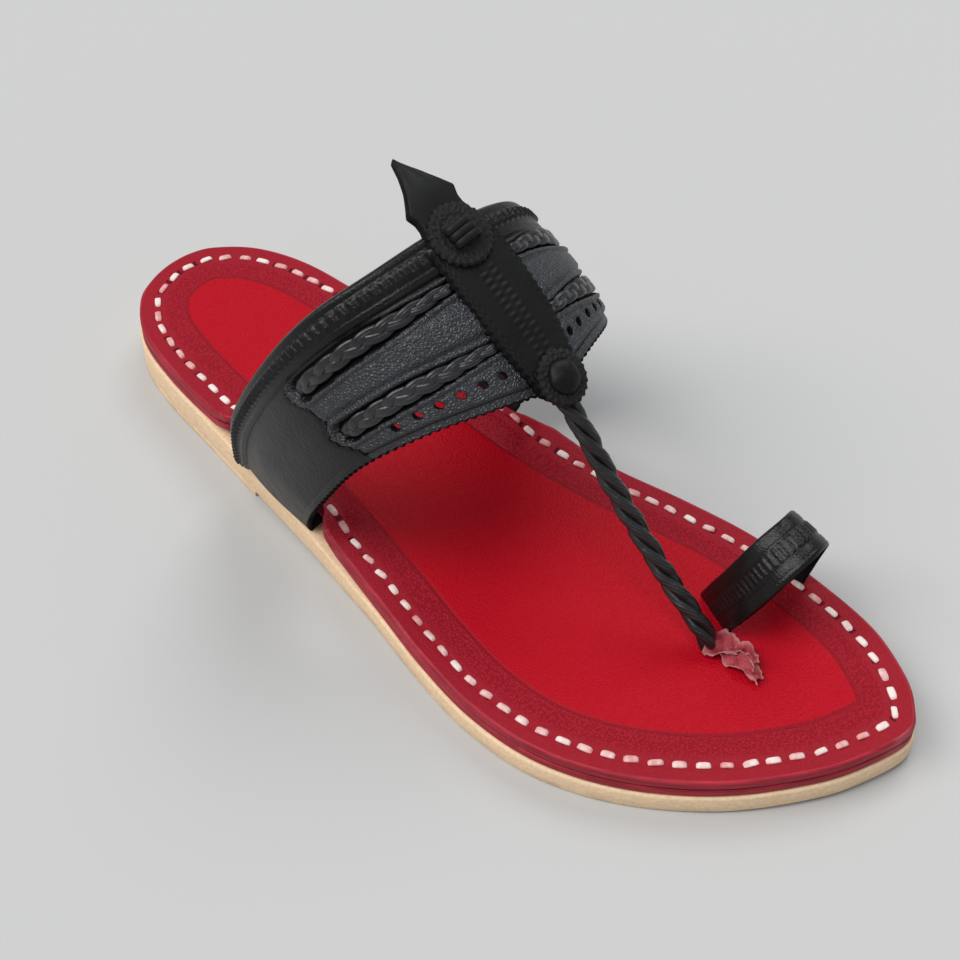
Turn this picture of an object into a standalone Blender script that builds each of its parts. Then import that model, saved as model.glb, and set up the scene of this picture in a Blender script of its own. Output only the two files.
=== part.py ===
"""One right-foot kolhapuri sandal: layered sole, arched band with a leaf spine, rope strap, toe ring.

Metres, +Z up, toe at +Y, the wearer's right at +X. The origin is on the floor under the heel's centre.
"""

import math
from collections import namedtuple

import bmesh
import bpy
from mathutils import Vector

# Sole
SOLE_LENGTH = 0.2525
BALL_WIDTH = 0.0905
HEEL_SETBACK = 0.034
HEEL_BREAST = 0.072
HEEL_LIFT = 0.0018
OUTSOLE_THICKNESS = 0.0094
TOE_SPRING = 0.0015
MIDSOLE_THICKNESS = 0.0024
INSOLE_THICKNESS = 0.0030
EDGE_BEVEL = 0.0008
LAYER_INSET = 0.0006
STITCH_INSET = 0.0058
GAP = 0.0003

# The red layers where the band passes them: the step over its ears, the curl beside it and the notch
EAR_SLOPE = 0.0044
EAR_MARGIN = 0.0050
EAR_RAMP = 0.0070
CURL = 0.0032
CURL_REACH = 0.0125
CURL_MARGIN = 0.0050
CURL_RAMP = 0.0300
NOTCH_SLACK = 0.0012
NOTCH_REAR = 0.0040
NOTCH_FRONT = 0.0080
NOTCH_RAMP = 0.0050

# Upper
LEATHER = 0.0018
REAR_HEIGHT = 0.1000
FRONT_HEIGHT = 0.0729
REAR_REACH = 0.0408
FRONT_REACH = 0.0412
REAR_CREST_X = 0.0025
FRONT_CREST_X = 0.0045
REAR_CREST_Y = 0.0793
FRONT_CREST_Y = 0.1165
BAND_ROOT_REAR_Y = 0.0310
BAND_ROOT_LENGTH = 0.0325
INNER_ROOT_AHEAD = 0.0040
INNER_ROOT_EXTRA = 0.0100
EAR_LENGTH = 0.0090
ROOT_MARGIN = 0.0008
DOME = 0.0015
BORDER_STEP = 0.0008
OVERLAY_STEP = 0.0012
PUNCH_RADIUS = 0.0015
TOOTH_DEPTH = 0.0010
TOOTH_PITCH = 0.0024
LEAF_LENGTH = 0.0665
LEAF_HALF_WIDTH = 0.0100
LEAF_THICKNESS = 0.0022
LEAF_SINK = 0.0007
LEAF_ROUND = 0.0006
LEAF_OVERHANG = 0.0026
LEAF_TIP_BACK = 0.0180
LEAF_TIP_RISE = 0.0070
LEAF_TIP_SIDE = 0.0015
CREST_RADIUS = 0.100

# Straps, ornaments and the lace
ROPE_RADIUS = 0.0032
ROPE_TURN = 0.0170
ROPE_STRANDS = 3
ROPE_NECK_AHEAD = 0.0032
ROPE_NECK_DROP = 0.0050
ROPE_SAG = 0.0006
ROPE_FOOT_X = 0.0042
ROPE_FOOT_Y = 0.794 * SOLE_LENGTH - HEEL_SETBACK
ROPE_FOOT_BACK = 0.0022
ROPE_FOOT_RISE = 0.0060
BRAID_WIDTH = 0.0044
BRAID_HEIGHT = 0.0042
BRAID_PITCH = 0.0095
BRAID_END_SHARE = 0.028
RING_HEIGHT = 0.0280
RING_SPAN = 0.0225
RING_WIDTH = 0.0130
RING_AHEAD = 0.0075
RING_ROOT_X = -0.0290
RING_ROOT_Y = 0.792 * SOLE_LENGTH - HEEL_SETBACK
RING_LEATHER = 0.0020
REAR_DISC_RADIUS = 0.0080
FRONT_DISC_RADIUS = 0.0066
DISC_THICKNESS = 0.0014
DISC_ROUND = 0.0003
DISC_TOOTH = 0.0008
BUTTON_RADIUS = 0.0040
BUTTON_HEIGHT = 0.0024
LOOP_WIDTH = 0.0062
LOOP_RISE = 0.0026
LOOP_LEATHER = 0.0012
LACE_LENGTH = 0.0160
LACE_WIDTH = 0.0080

# Resolution
RUNGS = 48
COLUMNS = 70
ROPE_STATIONS = 34
BRAID_STATIONS = 25

Station = namedtuple("Station", "along inner outer")
Level = namedtuple("Level", "along lift thick spring")
Fold = namedtuple("Fold", "out_rear on_rear up_rear out_front on_front up_front")
LeafCut = namedtuple("LeafCut", "along width")
RingCut = namedtuple("RingCut", "span ahead up width turn yaw")
LaceCut = namedtuple("LaceCut", "along side up width height")

# The sole's outline: shares of SOLE_LENGTH from the heel's end, and of BALL_WIDTH from the long axis.
HEEL_END = -0.011
TOE_END = -0.088
OUTLINE = [
    Station(0.005, -0.098, 0.084),
    Station(0.02, -0.172, 0.168),
    Station(0.06, -0.262, 0.258),
    Station(0.12, -0.316, 0.312),
    Station(0.20, -0.329, 0.354),
    Station(0.30, -0.318, 0.408),
    Station(0.40, -0.306, 0.459),
    Station(0.50, -0.303, 0.520),
    Station(0.58, -0.319, 0.580),
    Station(0.66, -0.354, 0.620),
    Station(0.74, -0.376, 0.610),
    Station(0.82, -0.365, 0.527),
    Station(0.90, -0.323, 0.368),
    Station(0.96, -0.236, 0.176),
    Station(0.988, -0.160, 0.030),
]

# Heights of the outsole: shares of its seat on the heel lift, of OUTSOLE_THICKNESS and of TOE_SPRING.
LEVELS = [
    Level(0.00, 1.0, 1.00, 0.0),
    Level(0.29, 1.0, 0.94, 0.0),
    Level(0.48, 0.0, 0.70, 0.0),
    Level(0.60, 0.0, 0.64, 0.0),
    Level(0.84, 0.0, 0.63, 0.0),
    Level(1.00, 0.0, 0.62, 1.0),
]

# The band's sides from above the root to the crest: how far out (shares of the reach), on (of the lean)
# and up (of the crest's height above the root), along its rear edge and its front edge.
OUTER_FOLDS = [
    Fold(0.82, 0.02, 0.06, 0.90, 0.02, 0.08),
    Fold(0.95, 0.19, 0.32, 1.02, 0.21, 0.38),
    Fold(1.00, 0.49, 0.63, 0.96, 0.46, 0.73),
    Fold(0.88, 0.74, 0.86, 0.70, 0.71, 0.93),
    Fold(0.52, 0.93, 0.98, 0.38, 0.89, 1.00),
]
INNER_FOLDS = [
    Fold(0.755, 0.02, 0.06, 0.80, 0.02, 0.08),
    Fold(0.94, 0.27, 0.32, 0.97, 0.19, 0.38),
    Fold(0.99, 0.62, 0.58, 0.97, 0.45, 0.68),
    Fold(0.85, 0.86, 0.745, 0.79, 0.73, 0.86),
    Fold(0.54, 0.96, 0.905, 0.46, 0.90, 0.97),
]
# Rows across the band from its rear edge (0) to its front edge (1): where the wall's steps lie.
BAND_ROWS = [0.0, 0.03, 0.18, 0.20, 0.215, 0.235, 0.395, 0.415, 0.62, 0.64, 0.765, 0.785, 0.94, 0.97, 1.0]
BORDER_END = 0.19
GROOVE_END = 0.21
SLOTS = [(0.225, 0.405), (0.63, 0.775)]
INSIDE_ROWS = [0.0, 0.35, 0.70, 1.0]
OVERLAY_START = 0.50
SLOT_START = 0.53
SLOT_END = 0.91
PUNCH_ROW = 0.84
PUNCHES = [0.646, 0.70, 0.75, 0.80, 0.85, 0.895]
REAR_DISC_SHARE = 0.35
FRONT_DISC_SHARE = 0.94

# The leaf's half width, from its tip: shares of LEAF_LENGTH and of LEAF_HALF_WIDTH.
LEAF_CUTS = [
    LeafCut(0.00, 0.03),
    LeafCut(0.06, 0.20),
    LeafCut(0.12, 0.42),
    LeafCut(0.17, 0.66),
    LeafCut(0.195, 0.79),
    LeafCut(0.23, 0.70),
    LeafCut(0.26, 0.70),
    LeafCut(0.30, 0.80),
    LeafCut(0.36, 0.95),
    LeafCut(0.50, 1.00),
    LeafCut(0.72, 0.94),
    LeafCut(0.88, 0.76),
    LeafCut(0.96, 0.66),
    LeafCut(1.00, 0.40),
]
LEAF_PINKED_FROM = 0.30

# The toe ring from its inner foot: shares of its span, of its step ahead, height and width, then the
# turns in radians of its width downwards and towards the outer side.
RING_CUTS = [
    RingCut(-0.50, 0.00, 0.00, 1.00, 0.00, 0.00),
    RingCut(-0.57, 0.20, 0.28, 1.00, 0.05, 0.00),
    RingCut(-0.52, 0.53, 0.60, 0.98, 0.12, 0.05),
    RingCut(-0.32, 0.87, 0.89, 0.97, 0.18, 0.12),
    RingCut(-0.01, 1.00, 1.00, 0.97, 0.20, 0.18),
    RingCut(0.30, 0.73, 0.87, 1.00, 0.18, 0.25),
    RingCut(0.48, 0.27, 0.57, 1.03, 0.10, 0.33),
    RingCut(0.55, -0.27, 0.25, 1.05, 0.04, 0.40),
    RingCut(0.50, -0.67, 0.00, 1.05, 0.00, 0.43),
]

# The lace's end: shares of its length, width, and of its height above the insole.
LACE_CUTS = [
    LaceCut(0.00, 0.00, 0.30, 0.55, 0.50),
    LaceCut(0.14, -0.02, 0.40, 1.10, 0.58),
    LaceCut(0.30, -0.04, 0.34, 1.00, 0.48),
    LaceCut(0.46, -0.06, 0.28, 0.62, 0.40),
    LaceCut(0.64, -0.08, 0.30, 0.66, 0.44),
    LaceCut(0.84, -0.10, 0.32, 0.70, 0.48),
    LaceCut(1.00, -0.12, 0.26, 0.50, 0.34),
]
LACE_HEIGHT = 0.0080

Finish = namedtuple("Finish", "colour roughness metallic")
FINISHES = {
    "sole_tan": Finish((0.74, 0.51, 0.30), 0.75, 0.0),
    "midsole_red": Finish((0.23, 0.012, 0.02), 0.50, 0.0),
    "insole_red": Finish((0.52, 0.006, 0.014), 0.42, 0.0),
    "black_leather": Finish((0.018, 0.018, 0.021), 0.45, 0.0),
    "black_braid": Finish((0.022, 0.022, 0.026), 0.50, 0.0),
    "raw_lace": Finish((0.52, 0.09, 0.11), 0.85, 0.0),
}


def clear_scene():
    for obj in list(bpy.data.objects):
        bpy.data.objects.remove(obj)


def new_collection(name):
    collection = bpy.data.collections.new(name)
    bpy.context.scene.collection.children.link(collection)
    return collection


def material(name):
    finish = FINISHES[name]
    made = bpy.data.materials.new(name)
    made.use_nodes = True
    shader = made.node_tree.nodes["Principled BSDF"]
    shader.inputs["Base Color"].default_value = (*finish.colour, 1.0)
    shader.inputs["Roughness"].default_value = finish.roughness
    shader.inputs["Metallic"].default_value = finish.metallic
    return made


def catmull(a, b, c, d, t):
    """A point on the smooth curve from b to c."""
    square = t * t
    cube = square * t
    bend = (2 * a - 5 * b + 4 * c - d) * square + (3 * b - 3 * c + d - a) * cube
    return 0.5 * (2 * b + (c - a) * t + bend)


def curve_at(points, place):
    """The point at a place counted in control points along an open smooth curve."""
    last = len(points) - 1
    i = min(int(place), last - 1)
    before = points[i - 1] if i > 0 else 2 * points[0] - points[1]
    after = points[i + 2] if i + 2 <= last else 2 * points[last] - points[last - 1]
    return catmull(before, points[i], points[i + 1], after, place - i)


def even_places(curves, count):
    """Places that cut a family of like curves into nearly equal lengths."""
    fine = 40
    last = len(curves[0]) - 1
    places = [last * i / (fine * last) for i in range(fine * last + 1)]
    run = [0.0]
    for a, b in zip(places, places[1:]):
        step = sum((curve_at(c, b) - curve_at(c, a)).length for c in curves)
        run.append(run[-1] + step)
    chosen = []
    k = 0
    for i in range(count + 1):
        want = run[-1] * i / count
        while k < len(run) - 2 and run[k + 1] < want:
            k += 1
        span = run[k + 1] - run[k]
        chosen.append(places[k] + (places[k + 1] - places[k]) * (want - run[k]) / span)
    return chosen


def interpolate(rows, along, column):
    """A column of a table read smoothly between its rows."""
    if along <= rows[0].along:
        return getattr(rows[0], column)
    for low, high in zip(rows, rows[1:]):
        if along <= high.along:
            t = (along - low.along) / (high.along - low.along)
            t = t * t * (3 - 2 * t)
            return getattr(low, column) * (1 - t) + getattr(high, column) * t
    return getattr(rows[-1], column)


def window(value, low, high, ramp):
    """1 between low and high, easing to 0 over the ramp outside them."""
    outside = max(low - value, value - high, 0.0)
    t = max(0.0, 1.0 - outside / ramp)
    return t * t * (3 - 2 * t)


# Sole


def sole_side(column):
    """One side of the outline from the heel's end to the toe's end."""
    points = [Vector((HEEL_END * BALL_WIDTH, -HEEL_SETBACK, 0.0))]
    for row in OUTLINE:
        across = getattr(row, column) * BALL_WIDTH
        points.append(Vector((across, row.along * SOLE_LENGTH - HEEL_SETBACK, 0.0)))
    points.append(Vector((TOE_END * BALL_WIDTH, SOLE_LENGTH - HEEL_SETBACK, 0.0)))
    return points


def outline_loop():
    """The closed outline, anticlockwise from the heel's end: the outer side, then the inner side."""
    outer = sole_side("outer")
    inner = sole_side("inner")
    control = outer + inner[-2:0:-1]
    count = len(control)

    def side(first, last, amount):
        def at(place):
            i = int(place) % count
            four = [control[(i + k) % count] for k in (-1, 0, 1, 2)]
            return catmull(*four, place - int(place))

        fine = [at(first + (last - first) * k / 800) for k in range(801)]
        run = [0.0]
        for a, b in zip(fine, fine[1:]):
            run.append(run[-1] + (b - a).length)
        chosen = []
        k = 0
        for i in range(amount):
            want = run[-1] * i / amount
            while run[k + 1] < want:
                k += 1
            chosen.append(fine[k])
        return chosen

    toe = len(outer) - 1
    return side(0, toe, RUNGS) + side(toe, count - 1e-9, RUNGS)


LOOP = outline_loop()


def loop_normals():
    count = len(LOOP)
    normals = []
    for i in range(count):
        along = LOOP[(i + 1) % count] - LOOP[i - 1]
        normals.append(Vector((-along.y, along.x, 0.0)).normalized())
    return normals


NORMALS = loop_normals()


def outline_x(y, column):
    """Where the outline lies at a given y, on the outer or inner side."""
    along = (y + HEEL_SETBACK) / SOLE_LENGTH
    side = sole_side(column)
    rows = [HEEL_END] + [getattr(r, column) for r in OUTLINE] + [TOE_END]
    places = [0.0] + [r.along for r in OUTLINE] + [1.0]
    for i in range(len(places) - 1):
        if along <= places[i + 1]:
            place = i + (along - places[i]) / (places[i + 1] - places[i])
            return curve_at(side, place).x
    return rows[-1] * BALL_WIDTH


def under(y):
    """Height of the outsole's underside."""
    along = (y + HEEL_SETBACK) / SOLE_LENGTH
    lift = interpolate(LEVELS, along, "lift") * (HEEL_LIFT + GAP)
    return lift + interpolate(LEVELS, along, "spring") * TOE_SPRING


def seat(y):
    """Height of the outsole's top."""
    along = (y + HEEL_SETBACK) / SOLE_LENGTH
    return under(y) + interpolate(LEVELS, along, "thick") * OUTSOLE_THICKNESS


def root_span(is_outer):
    """The band's root along the sole's edge: its rear and front y."""
    if is_outer:
        return BAND_ROOT_REAR_Y, BAND_ROOT_REAR_Y + BAND_ROOT_LENGTH
    rear = BAND_ROOT_REAR_Y + INNER_ROOT_AHEAD
    return rear, rear + BAND_ROOT_LENGTH + INNER_ROOT_EXTRA


EAR_LIFT = LEATHER + GAP
RING_DEEP = EAR_LENGTH + ROOT_MARGIN + 2 * GAP
RING_INNER = RING_DEEP + EAR_SLOPE
NOTCH = ROOT_MARGIN + LEATHER + 2 * GAP - LAYER_INSET + NOTCH_SLACK


def notch(point):
    """How far the red layers draw in where the band passes their edge."""
    rear, front = root_span(point.x > 0)
    return NOTCH * window(point.y, rear - NOTCH_REAR, front + NOTCH_FRONT, NOTCH_RAMP)


def raised(point, inset):
    """How far the red layers' margin stands up: over the band's ear, and curled at its edge."""
    rear, front = root_span(point.x > 0)
    ear = window(point.y, rear - EAR_MARGIN, front + EAR_MARGIN, EAR_RAMP)
    ear *= window(inset, 0.0, RING_DEEP, EAR_SLOPE)
    curl = window(point.y, rear + CURL_MARGIN, front + CURL_MARGIN, CURL_RAMP)
    curl *= max(0.0, 1.0 - inset / CURL_REACH) ** 1.5
    return EAR_LIFT * ear + CURL * curl


def red_ring(inset, rise, chamfer=0.0):
    """One ring of a red layer: inset from the outline, at a rise above the outsole's top."""
    ring = []
    for point, normal in zip(LOOP, NORMALS):
        step = inset + (notch(point) if inset < STITCH_INSET else 0.0)
        place = point + normal * step
        place.z = seat(place.y) + rise - chamfer + raised(point, step)
        ring.append(place)
    return ring


def tan_ring(inset, height):
    ring = []
    for point, normal in zip(LOOP, NORMALS):
        place = point + normal * inset
        place.z = height(place.y)
        ring.append(place)
    return ring


def bridge(mesh, low, high):
    count = len(low)
    for i in range(count):
        j = (i + 1) % count
        mesh.faces.new((low[i], low[j], high[j], high[i]))


def bridge_level(mesh, low, high):
    """Bridges two sole rings with the same diagonals on every layer, so that curled layers nest."""
    inward = high[0].co.y >= low[0].co.y
    count = len(low)
    for i in range(count):
        j = (i + 1) % count
        if inward:
            mesh.faces.new((low[i], low[j], high[j]))
            mesh.faces.new((low[i], high[j], high[i]))
        else:
            mesh.faces.new((low[i], low[j], high[i]))
            mesh.faces.new((low[j], high[j], high[i]))


def ladder_cap(mesh, ring, up):
    """Closes a sole ring with rungs from its outer side to its inner side."""
    count = len(ring)
    half = count // 2
    for i in range(half):
        a, b = ring[i], ring[i + 1]
        c, d = ring[(count - i - 1) % count], ring[(count - i) % count]
        corners = [a, b] if b is c else [a, b, c]
        if d is not a:
            corners.append(d)
        if not up:
            corners.reverse()
        mesh.faces.new(corners)


def finish_mesh(name, mesh, finish, collection, smooth=40):
    bmesh.ops.recalc_face_normals(mesh, faces=mesh.faces)
    data = bpy.data.meshes.new(name)
    mesh.to_mesh(data)
    mesh.free()
    data.materials.append(bpy.data.materials[finish])
    data.shade_smooth()
    data.set_sharp_from_angle(angle=math.radians(smooth))
    obj = bpy.data.objects.new(name, data)
    collection.objects.link(obj)
    return obj


def sole_layer(name, rings, finish, collection):
    mesh = bmesh.new()
    rows = [[mesh.verts.new(p) for p in ring] for ring in rings]
    for low, high in zip(rows, rows[1:]):
        bridge_level(mesh, low, high)
    ladder_cap(mesh, rows[0], up=False)
    ladder_cap(mesh, rows[-1], up=True)
    return finish_mesh(name, mesh, finish, collection, smooth=35)


def outsole(collection):
    rings = [
        tan_ring(EDGE_BEVEL, under),
        tan_ring(0.0, lambda y: under(y) + EDGE_BEVEL),
        tan_ring(0.0, lambda y: seat(y) - EDGE_BEVEL / 2),
        tan_ring(EDGE_BEVEL / 2, seat),
        tan_ring(STITCH_INSET, seat),
        tan_ring(RING_DEEP, seat),
        tan_ring(RING_INNER, seat),
    ]
    return sole_layer("outsole", rings, "sole_tan", collection)


def heel_piece(collection):
    """The flat lift under the heel, with its step at the breast."""
    breast = HEEL_BREAST - HEEL_SETBACK
    flat = tan_ring(EDGE_BEVEL / 2, lambda y: 0.0)
    kept = [p for p in flat if p.y < breast]
    split = next(i for i, p in enumerate(flat) if p.y >= breast)
    first = flat[split].copy()
    first.y = breast
    first.x = flat[split - 1].x + (flat[split].x - flat[split - 1].x) * (
        (breast - flat[split - 1].y) / (flat[split].y - flat[split - 1].y)
    )
    back = len(flat) - (len(kept) - split)
    last = flat[back].copy()
    last.x = flat[back].x + (flat[back - 1].x - flat[back].x) * (
        (breast - flat[back].y) / (flat[back - 1].y - flat[back].y)
    )
    last.y = breast
    profile = kept[:split] + [first, last] + kept[split:]
    mesh = bmesh.new()
    low = [mesh.verts.new(p) for p in profile]
    high = [mesh.verts.new(p + Vector((0.0, 0.0, HEEL_LIFT))) for p in profile]
    bridge(mesh, low, high)
    mesh.faces.new(low[::-1])
    mesh.faces.new(high)
    return finish_mesh("heel_piece", mesh, "sole_tan", collection, smooth=35)


def midsole(collection):
    low = GAP
    high = GAP + MIDSOLE_THICKNESS
    rings = [
        red_ring(RING_INNER, low),
        red_ring(RING_DEEP, low),
        red_ring(STITCH_INSET, low),
        red_ring(LAYER_INSET, low),
        red_ring(LAYER_INSET, high),
        red_ring(STITCH_INSET, high),
        red_ring(RING_DEEP, high),
        red_ring(RING_INNER, high),
    ]
    return sole_layer("midsole", rings, "midsole_red", collection)


def insole(collection):
    low = 2 * GAP + MIDSOLE_THICKNESS
    high = low + INSOLE_THICKNESS
    rings = [
        red_ring(RING_INNER, low),
        red_ring(RING_DEEP, low),
        red_ring(STITCH_INSET, low),
        red_ring(LAYER_INSET, low),
        red_ring(LAYER_INSET, high, chamfer=EDGE_BEVEL),
        red_ring(LAYER_INSET + EDGE_BEVEL, high),
        red_ring(STITCH_INSET, high),
        red_ring(RING_DEEP, high),
        red_ring(RING_INNER, high),
    ]
    return sole_layer("insole", rings, "insole_red", collection)


def bed(y):
    """Height of the insole's flat top."""
    return seat(y) + 2 * GAP + MIDSOLE_THICKNESS + INSOLE_THICKNESS


# Band


def root_point(is_outer, front):
    """The band's lowest outside corner, on the outsole's top just inside its edge."""
    rear_y, front_y = root_span(is_outer)
    y = front_y if front else rear_y
    edge = outline_x(y, "outer" if is_outer else "inner")
    x = edge - ROOT_MARGIN if is_outer else edge + ROOT_MARGIN
    return Vector((x, y, seat(y) + GAP))


def crest_point(front):
    if front:
        return Vector((FRONT_CREST_X, FRONT_CREST_Y, FRONT_HEIGHT))
    return Vector((REAR_CREST_X, REAR_CREST_Y, REAR_HEIGHT))


def half_edge(is_outer, front):
    """Control points of one edge of the band from its root to just short of the crest."""
    root = root_point(is_outer, front)
    crest = crest_point(front)
    reach = (FRONT_REACH if front else REAR_REACH) * (1 if is_outer else -1)
    points = [root]
    for fold in OUTER_FOLDS if is_outer else INNER_FOLDS:
        out = fold.out_front if front else fold.out_rear
        on = fold.on_front if front else fold.on_rear
        up = fold.up_front if front else fold.up_rear
        points.append(
            Vector(
                (
                    crest.x + reach * out,
                    root.y + (crest.y - root.y) * on,
                    root.z + (crest.z - root.z) * up,
                )
            )
        )
    return points


def band_edge(front):
    outer = half_edge(True, front)
    inner = half_edge(False, front)
    return outer + [crest_point(front)] + inner[::-1]


REAR_EDGE = band_edge(False)
FRONT_EDGE = band_edge(True)
PLACES = even_places([REAR_EDGE, FRONT_EDGE], COLUMNS)
CREST_PLACE = (len(REAR_EDGE) - 1) / 2


def side_share(column):
    """0 at a root and 1 at the crest, by length along the band."""
    crest = min(range(len(PLACES)), key=lambda i: abs(PLACES[i] - CREST_PLACE))
    if column <= crest:
        return column / crest
    return (len(PLACES) - 1 - column) / (len(PLACES) - 1 - crest)


def band_base(place, row):
    rear = curve_at(REAR_EDGE, place)
    front = curve_at(FRONT_EDGE, place)
    return rear.lerp(front, row)


def band_normal(place, row):
    last = len(REAR_EDGE) - 1
    step = 0.02
    low = band_base(max(place - step, 0.0), row)
    high = band_base(min(place + step, last), row)
    forward = curve_at(FRONT_EDGE, place) - curve_at(REAR_EDGE, place)
    return (high - low).cross(forward).normalized() * -1.0


def band_point(place, row, height=0.0):
    """A point of the band's outer face, domed a little between its edges, at a height above it."""
    near_root = min(place, len(REAR_EDGE) - 1 - place)
    dome = DOME * 4 * row * (1 - row) * min(near_root, 1.0)
    return band_base(place, row) + band_normal(place, row) * (dome + height)


def wall_step(column, row):
    """How far the wall's outer face stands above the base leather: the border and the overlay."""
    share = side_share(column)
    if row < BORDER_END:
        return BORDER_STEP * min(1.0, row / 0.02)
    if row < GROOVE_END or share < OVERLAY_START:
        return 0.0
    for low, high in SLOTS:
        if low < row < high and SLOT_START < share < SLOT_END:
            return 0.0
    return OVERLAY_STEP


def ear_points(front, is_outer, height):
    """The ear under the midsole: points inward from the root, at a height above the outsole's top."""
    root = root_point(is_outer, front)
    inward = -1.0 if is_outer else 1.0
    points = []
    for share in (1.0, 0.35):
        point = root + Vector((inward * EAR_LENGTH * share, 0.0, 0.0))
        point.z = seat(point.y) + GAP + height
        points.append(point)
    return points


def ear_grid(is_outer, rows, height):
    rear = ear_points(False, is_outer, height)
    front = ear_points(True, is_outer, height)
    grid = []
    for a, b in zip(rear, front):
        line = []
        for row in rows:
            point = a.lerp(b, row)
            point.z = seat(point.y) + GAP + height
            line.append(point)
        grid.append(line)
    return grid


def outside_grid():
    """The band's outside from ear to ear: a list of lines from the rear edge to the front edge."""
    grid = ear_grid(True, BAND_ROWS, 0.0)
    for column, place in enumerate(PLACES):
        line = []
        for row in BAND_ROWS:
            edge = min(column, COLUMNS - column)
            height = wall_step(column, row) if edge > 1 else 0.0
            point = band_point(place, row, height)
            if edge == 0:
                point.z = seat(point.y) + GAP
            line.append(point)
        grid.append(line)
    return grid + ear_grid(False, BAND_ROWS, 0.0)[::-1]


def inside_grid():
    grid = ear_grid(True, INSIDE_ROWS, LEATHER)
    last = len(PLACES) - 1
    for column, place in enumerate(PLACES):
        line = []
        for row in INSIDE_ROWS:
            point = band_point(place, row, -LEATHER)
            if column in (0, last):
                point.z = seat(point.y) + GAP + LEATHER
            line.append(point)
        grid.append(line)
    return grid + ear_grid(False, INSIDE_ROWS, LEATHER)[::-1]


def toothed(a, b, outward):
    """The tip of a tooth between two neighbouring points of the pinked edge."""
    return (a + b) / 2 + outward * TOOTH_DEPTH


def band(collection):
    """The arched band: an outside with its steps, a plain inside, rims, and a pinked front edge."""
    mesh = bmesh.new()
    outside = [[mesh.verts.new(p) for p in line] for line in outside_grid()]
    inside = [[mesh.verts.new(p) for p in line] for line in inside_grid()]
    for a, b in zip(outside, outside[1:]):
        for i in range(len(a) - 1):
            mesh.faces.new((a[i], b[i], b[i + 1], a[i + 1]))
    for a, b in zip(inside, inside[1:]):
        for i in range(len(a) - 1):
            mesh.faces.new((a[i + 1], b[i + 1], b[i], a[i]))
    for k in range(len(outside) - 1):
        mesh.faces.new((outside[k][0], inside[k][0], inside[k + 1][0], outside[k + 1][0]))
    pink_front(mesh, outside, inside)
    mesh.faces.new(outside[0] + inside[0][::-1])
    mesh.faces.new((outside[-1] + inside[-1][::-1])[::-1])
    bmesh.ops.triangulate(mesh, faces=[f for f in mesh.faces if len(f.verts) > 4])
    return finish_mesh("upper", mesh, "black_leather", collection, smooth=35)


def pink_front(mesh, outside, inside):
    """The front rim, with a tooth between each pair of columns above the ears."""
    last = len(outside) - 1
    for k in range(last):
        a, b = outside[k][-1], outside[k + 1][-1]
        c, d = inside[k + 1][-1], inside[k][-1]
        if k < 5 or k >= last - 5:
            mesh.faces.new((b, c, d, a))
            continue
        forward = (a.co - outside[k][-4].co).normalized()
        top = mesh.verts.new(toothed(a.co, b.co, forward))
        low = mesh.verts.new(toothed(d.co, c.co, forward))
        mesh.faces.new((a, b, top))
        mesh.faces.new((c, d, low))
        mesh.faces.new((b, c, low, top))
        mesh.faces.new((d, a, top, low))


def punch_cutters(collection):
    """Round cutters through the front of the band, six on each side."""
    mesh = bmesh.new()
    last = len(PLACES) - 1
    for share in PUNCHES:
        for is_outer in (True, False):
            crest = min(range(len(PLACES)), key=lambda i: abs(PLACES[i] - CREST_PLACE))
            column = share * crest if is_outer else last - share * (last - crest)
            low = int(column)
            place = PLACES[low] + (PLACES[low + 1] - PLACES[low]) * (column - low)
            centre = band_point(place, PUNCH_ROW)
            turn = band_normal(place, PUNCH_ROW).to_track_quat("Z", "Y")
            made = bmesh.ops.create_cone(
                mesh,
                cap_ends=True,
                segments=10,
                radius1=PUNCH_RADIUS,
                radius2=PUNCH_RADIUS,
                depth=8 * LEATHER,
            )
            bmesh.ops.rotate(mesh, verts=made["verts"], cent=(0, 0, 0), matrix=turn.to_matrix())
            bmesh.ops.translate(mesh, verts=made["verts"], vec=centre)
    return finish_mesh("punch_cutters", mesh, "black_leather", collection)


# Leaf and rope


def spine_points():
    """The leaf's centre line on the band's crest, with its tip rising free behind the band."""
    rear = crest_point(False)
    lean = (crest_point(True) - rear).normalized()
    front = crest_point(True) + lean * LEAF_OVERHANG
    rise = Vector((0.0, -lean.z, lean.y)) * DOME
    return [
        rear + Vector((-LEAF_TIP_SIDE, -LEAF_TIP_BACK, LEAF_TIP_RISE)),
        rear + Vector((-LEAF_TIP_SIDE * 0.5, -LEAF_TIP_BACK * 0.5, LEAF_TIP_RISE * 0.72)),
        rear,
        rear.lerp(front, 0.33) + rise,
        rear.lerp(front, 0.67) + rise,
        front,
    ]


SPINE = spine_points()
SPINE_PLACES = even_places([SPINE], 100)


def spine_frame(share):
    """The leaf's centre and its outward normal at a share of its length."""
    place = share * 100
    low = min(int(place), 99)
    at = SPINE_PLACES[low] + (SPINE_PLACES[low + 1] - SPINE_PLACES[low]) * (place - low)
    last = len(SPINE) - 1
    ahead = curve_at(SPINE, min(at + 0.05, last)) - curve_at(SPINE, max(at - 0.05, 0.0))
    normal = Vector((0.0, -ahead.z, ahead.y)).normalized()
    return curve_at(SPINE, at), normal


def leaf_width(share):
    for low, high in zip(LEAF_CUTS, LEAF_CUTS[1:]):
        if share <= high.along:
            t = (share - low.along) / (high.along - low.along)
            return (low.width * (1 - t) + high.width * t) * LEAF_HALF_WIDTH
    return LEAF_CUTS[-1].width * LEAF_HALF_WIDTH


def leaf_point(share, across, height):
    """A point on the leaf: across from its centre line, at a height above the band's leather."""
    centre, normal = spine_frame(share)
    drop = across * across / (2 * CREST_RADIUS)
    return centre + Vector((across, 0.0, 0.0)) + normal * (height - drop)


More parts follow.
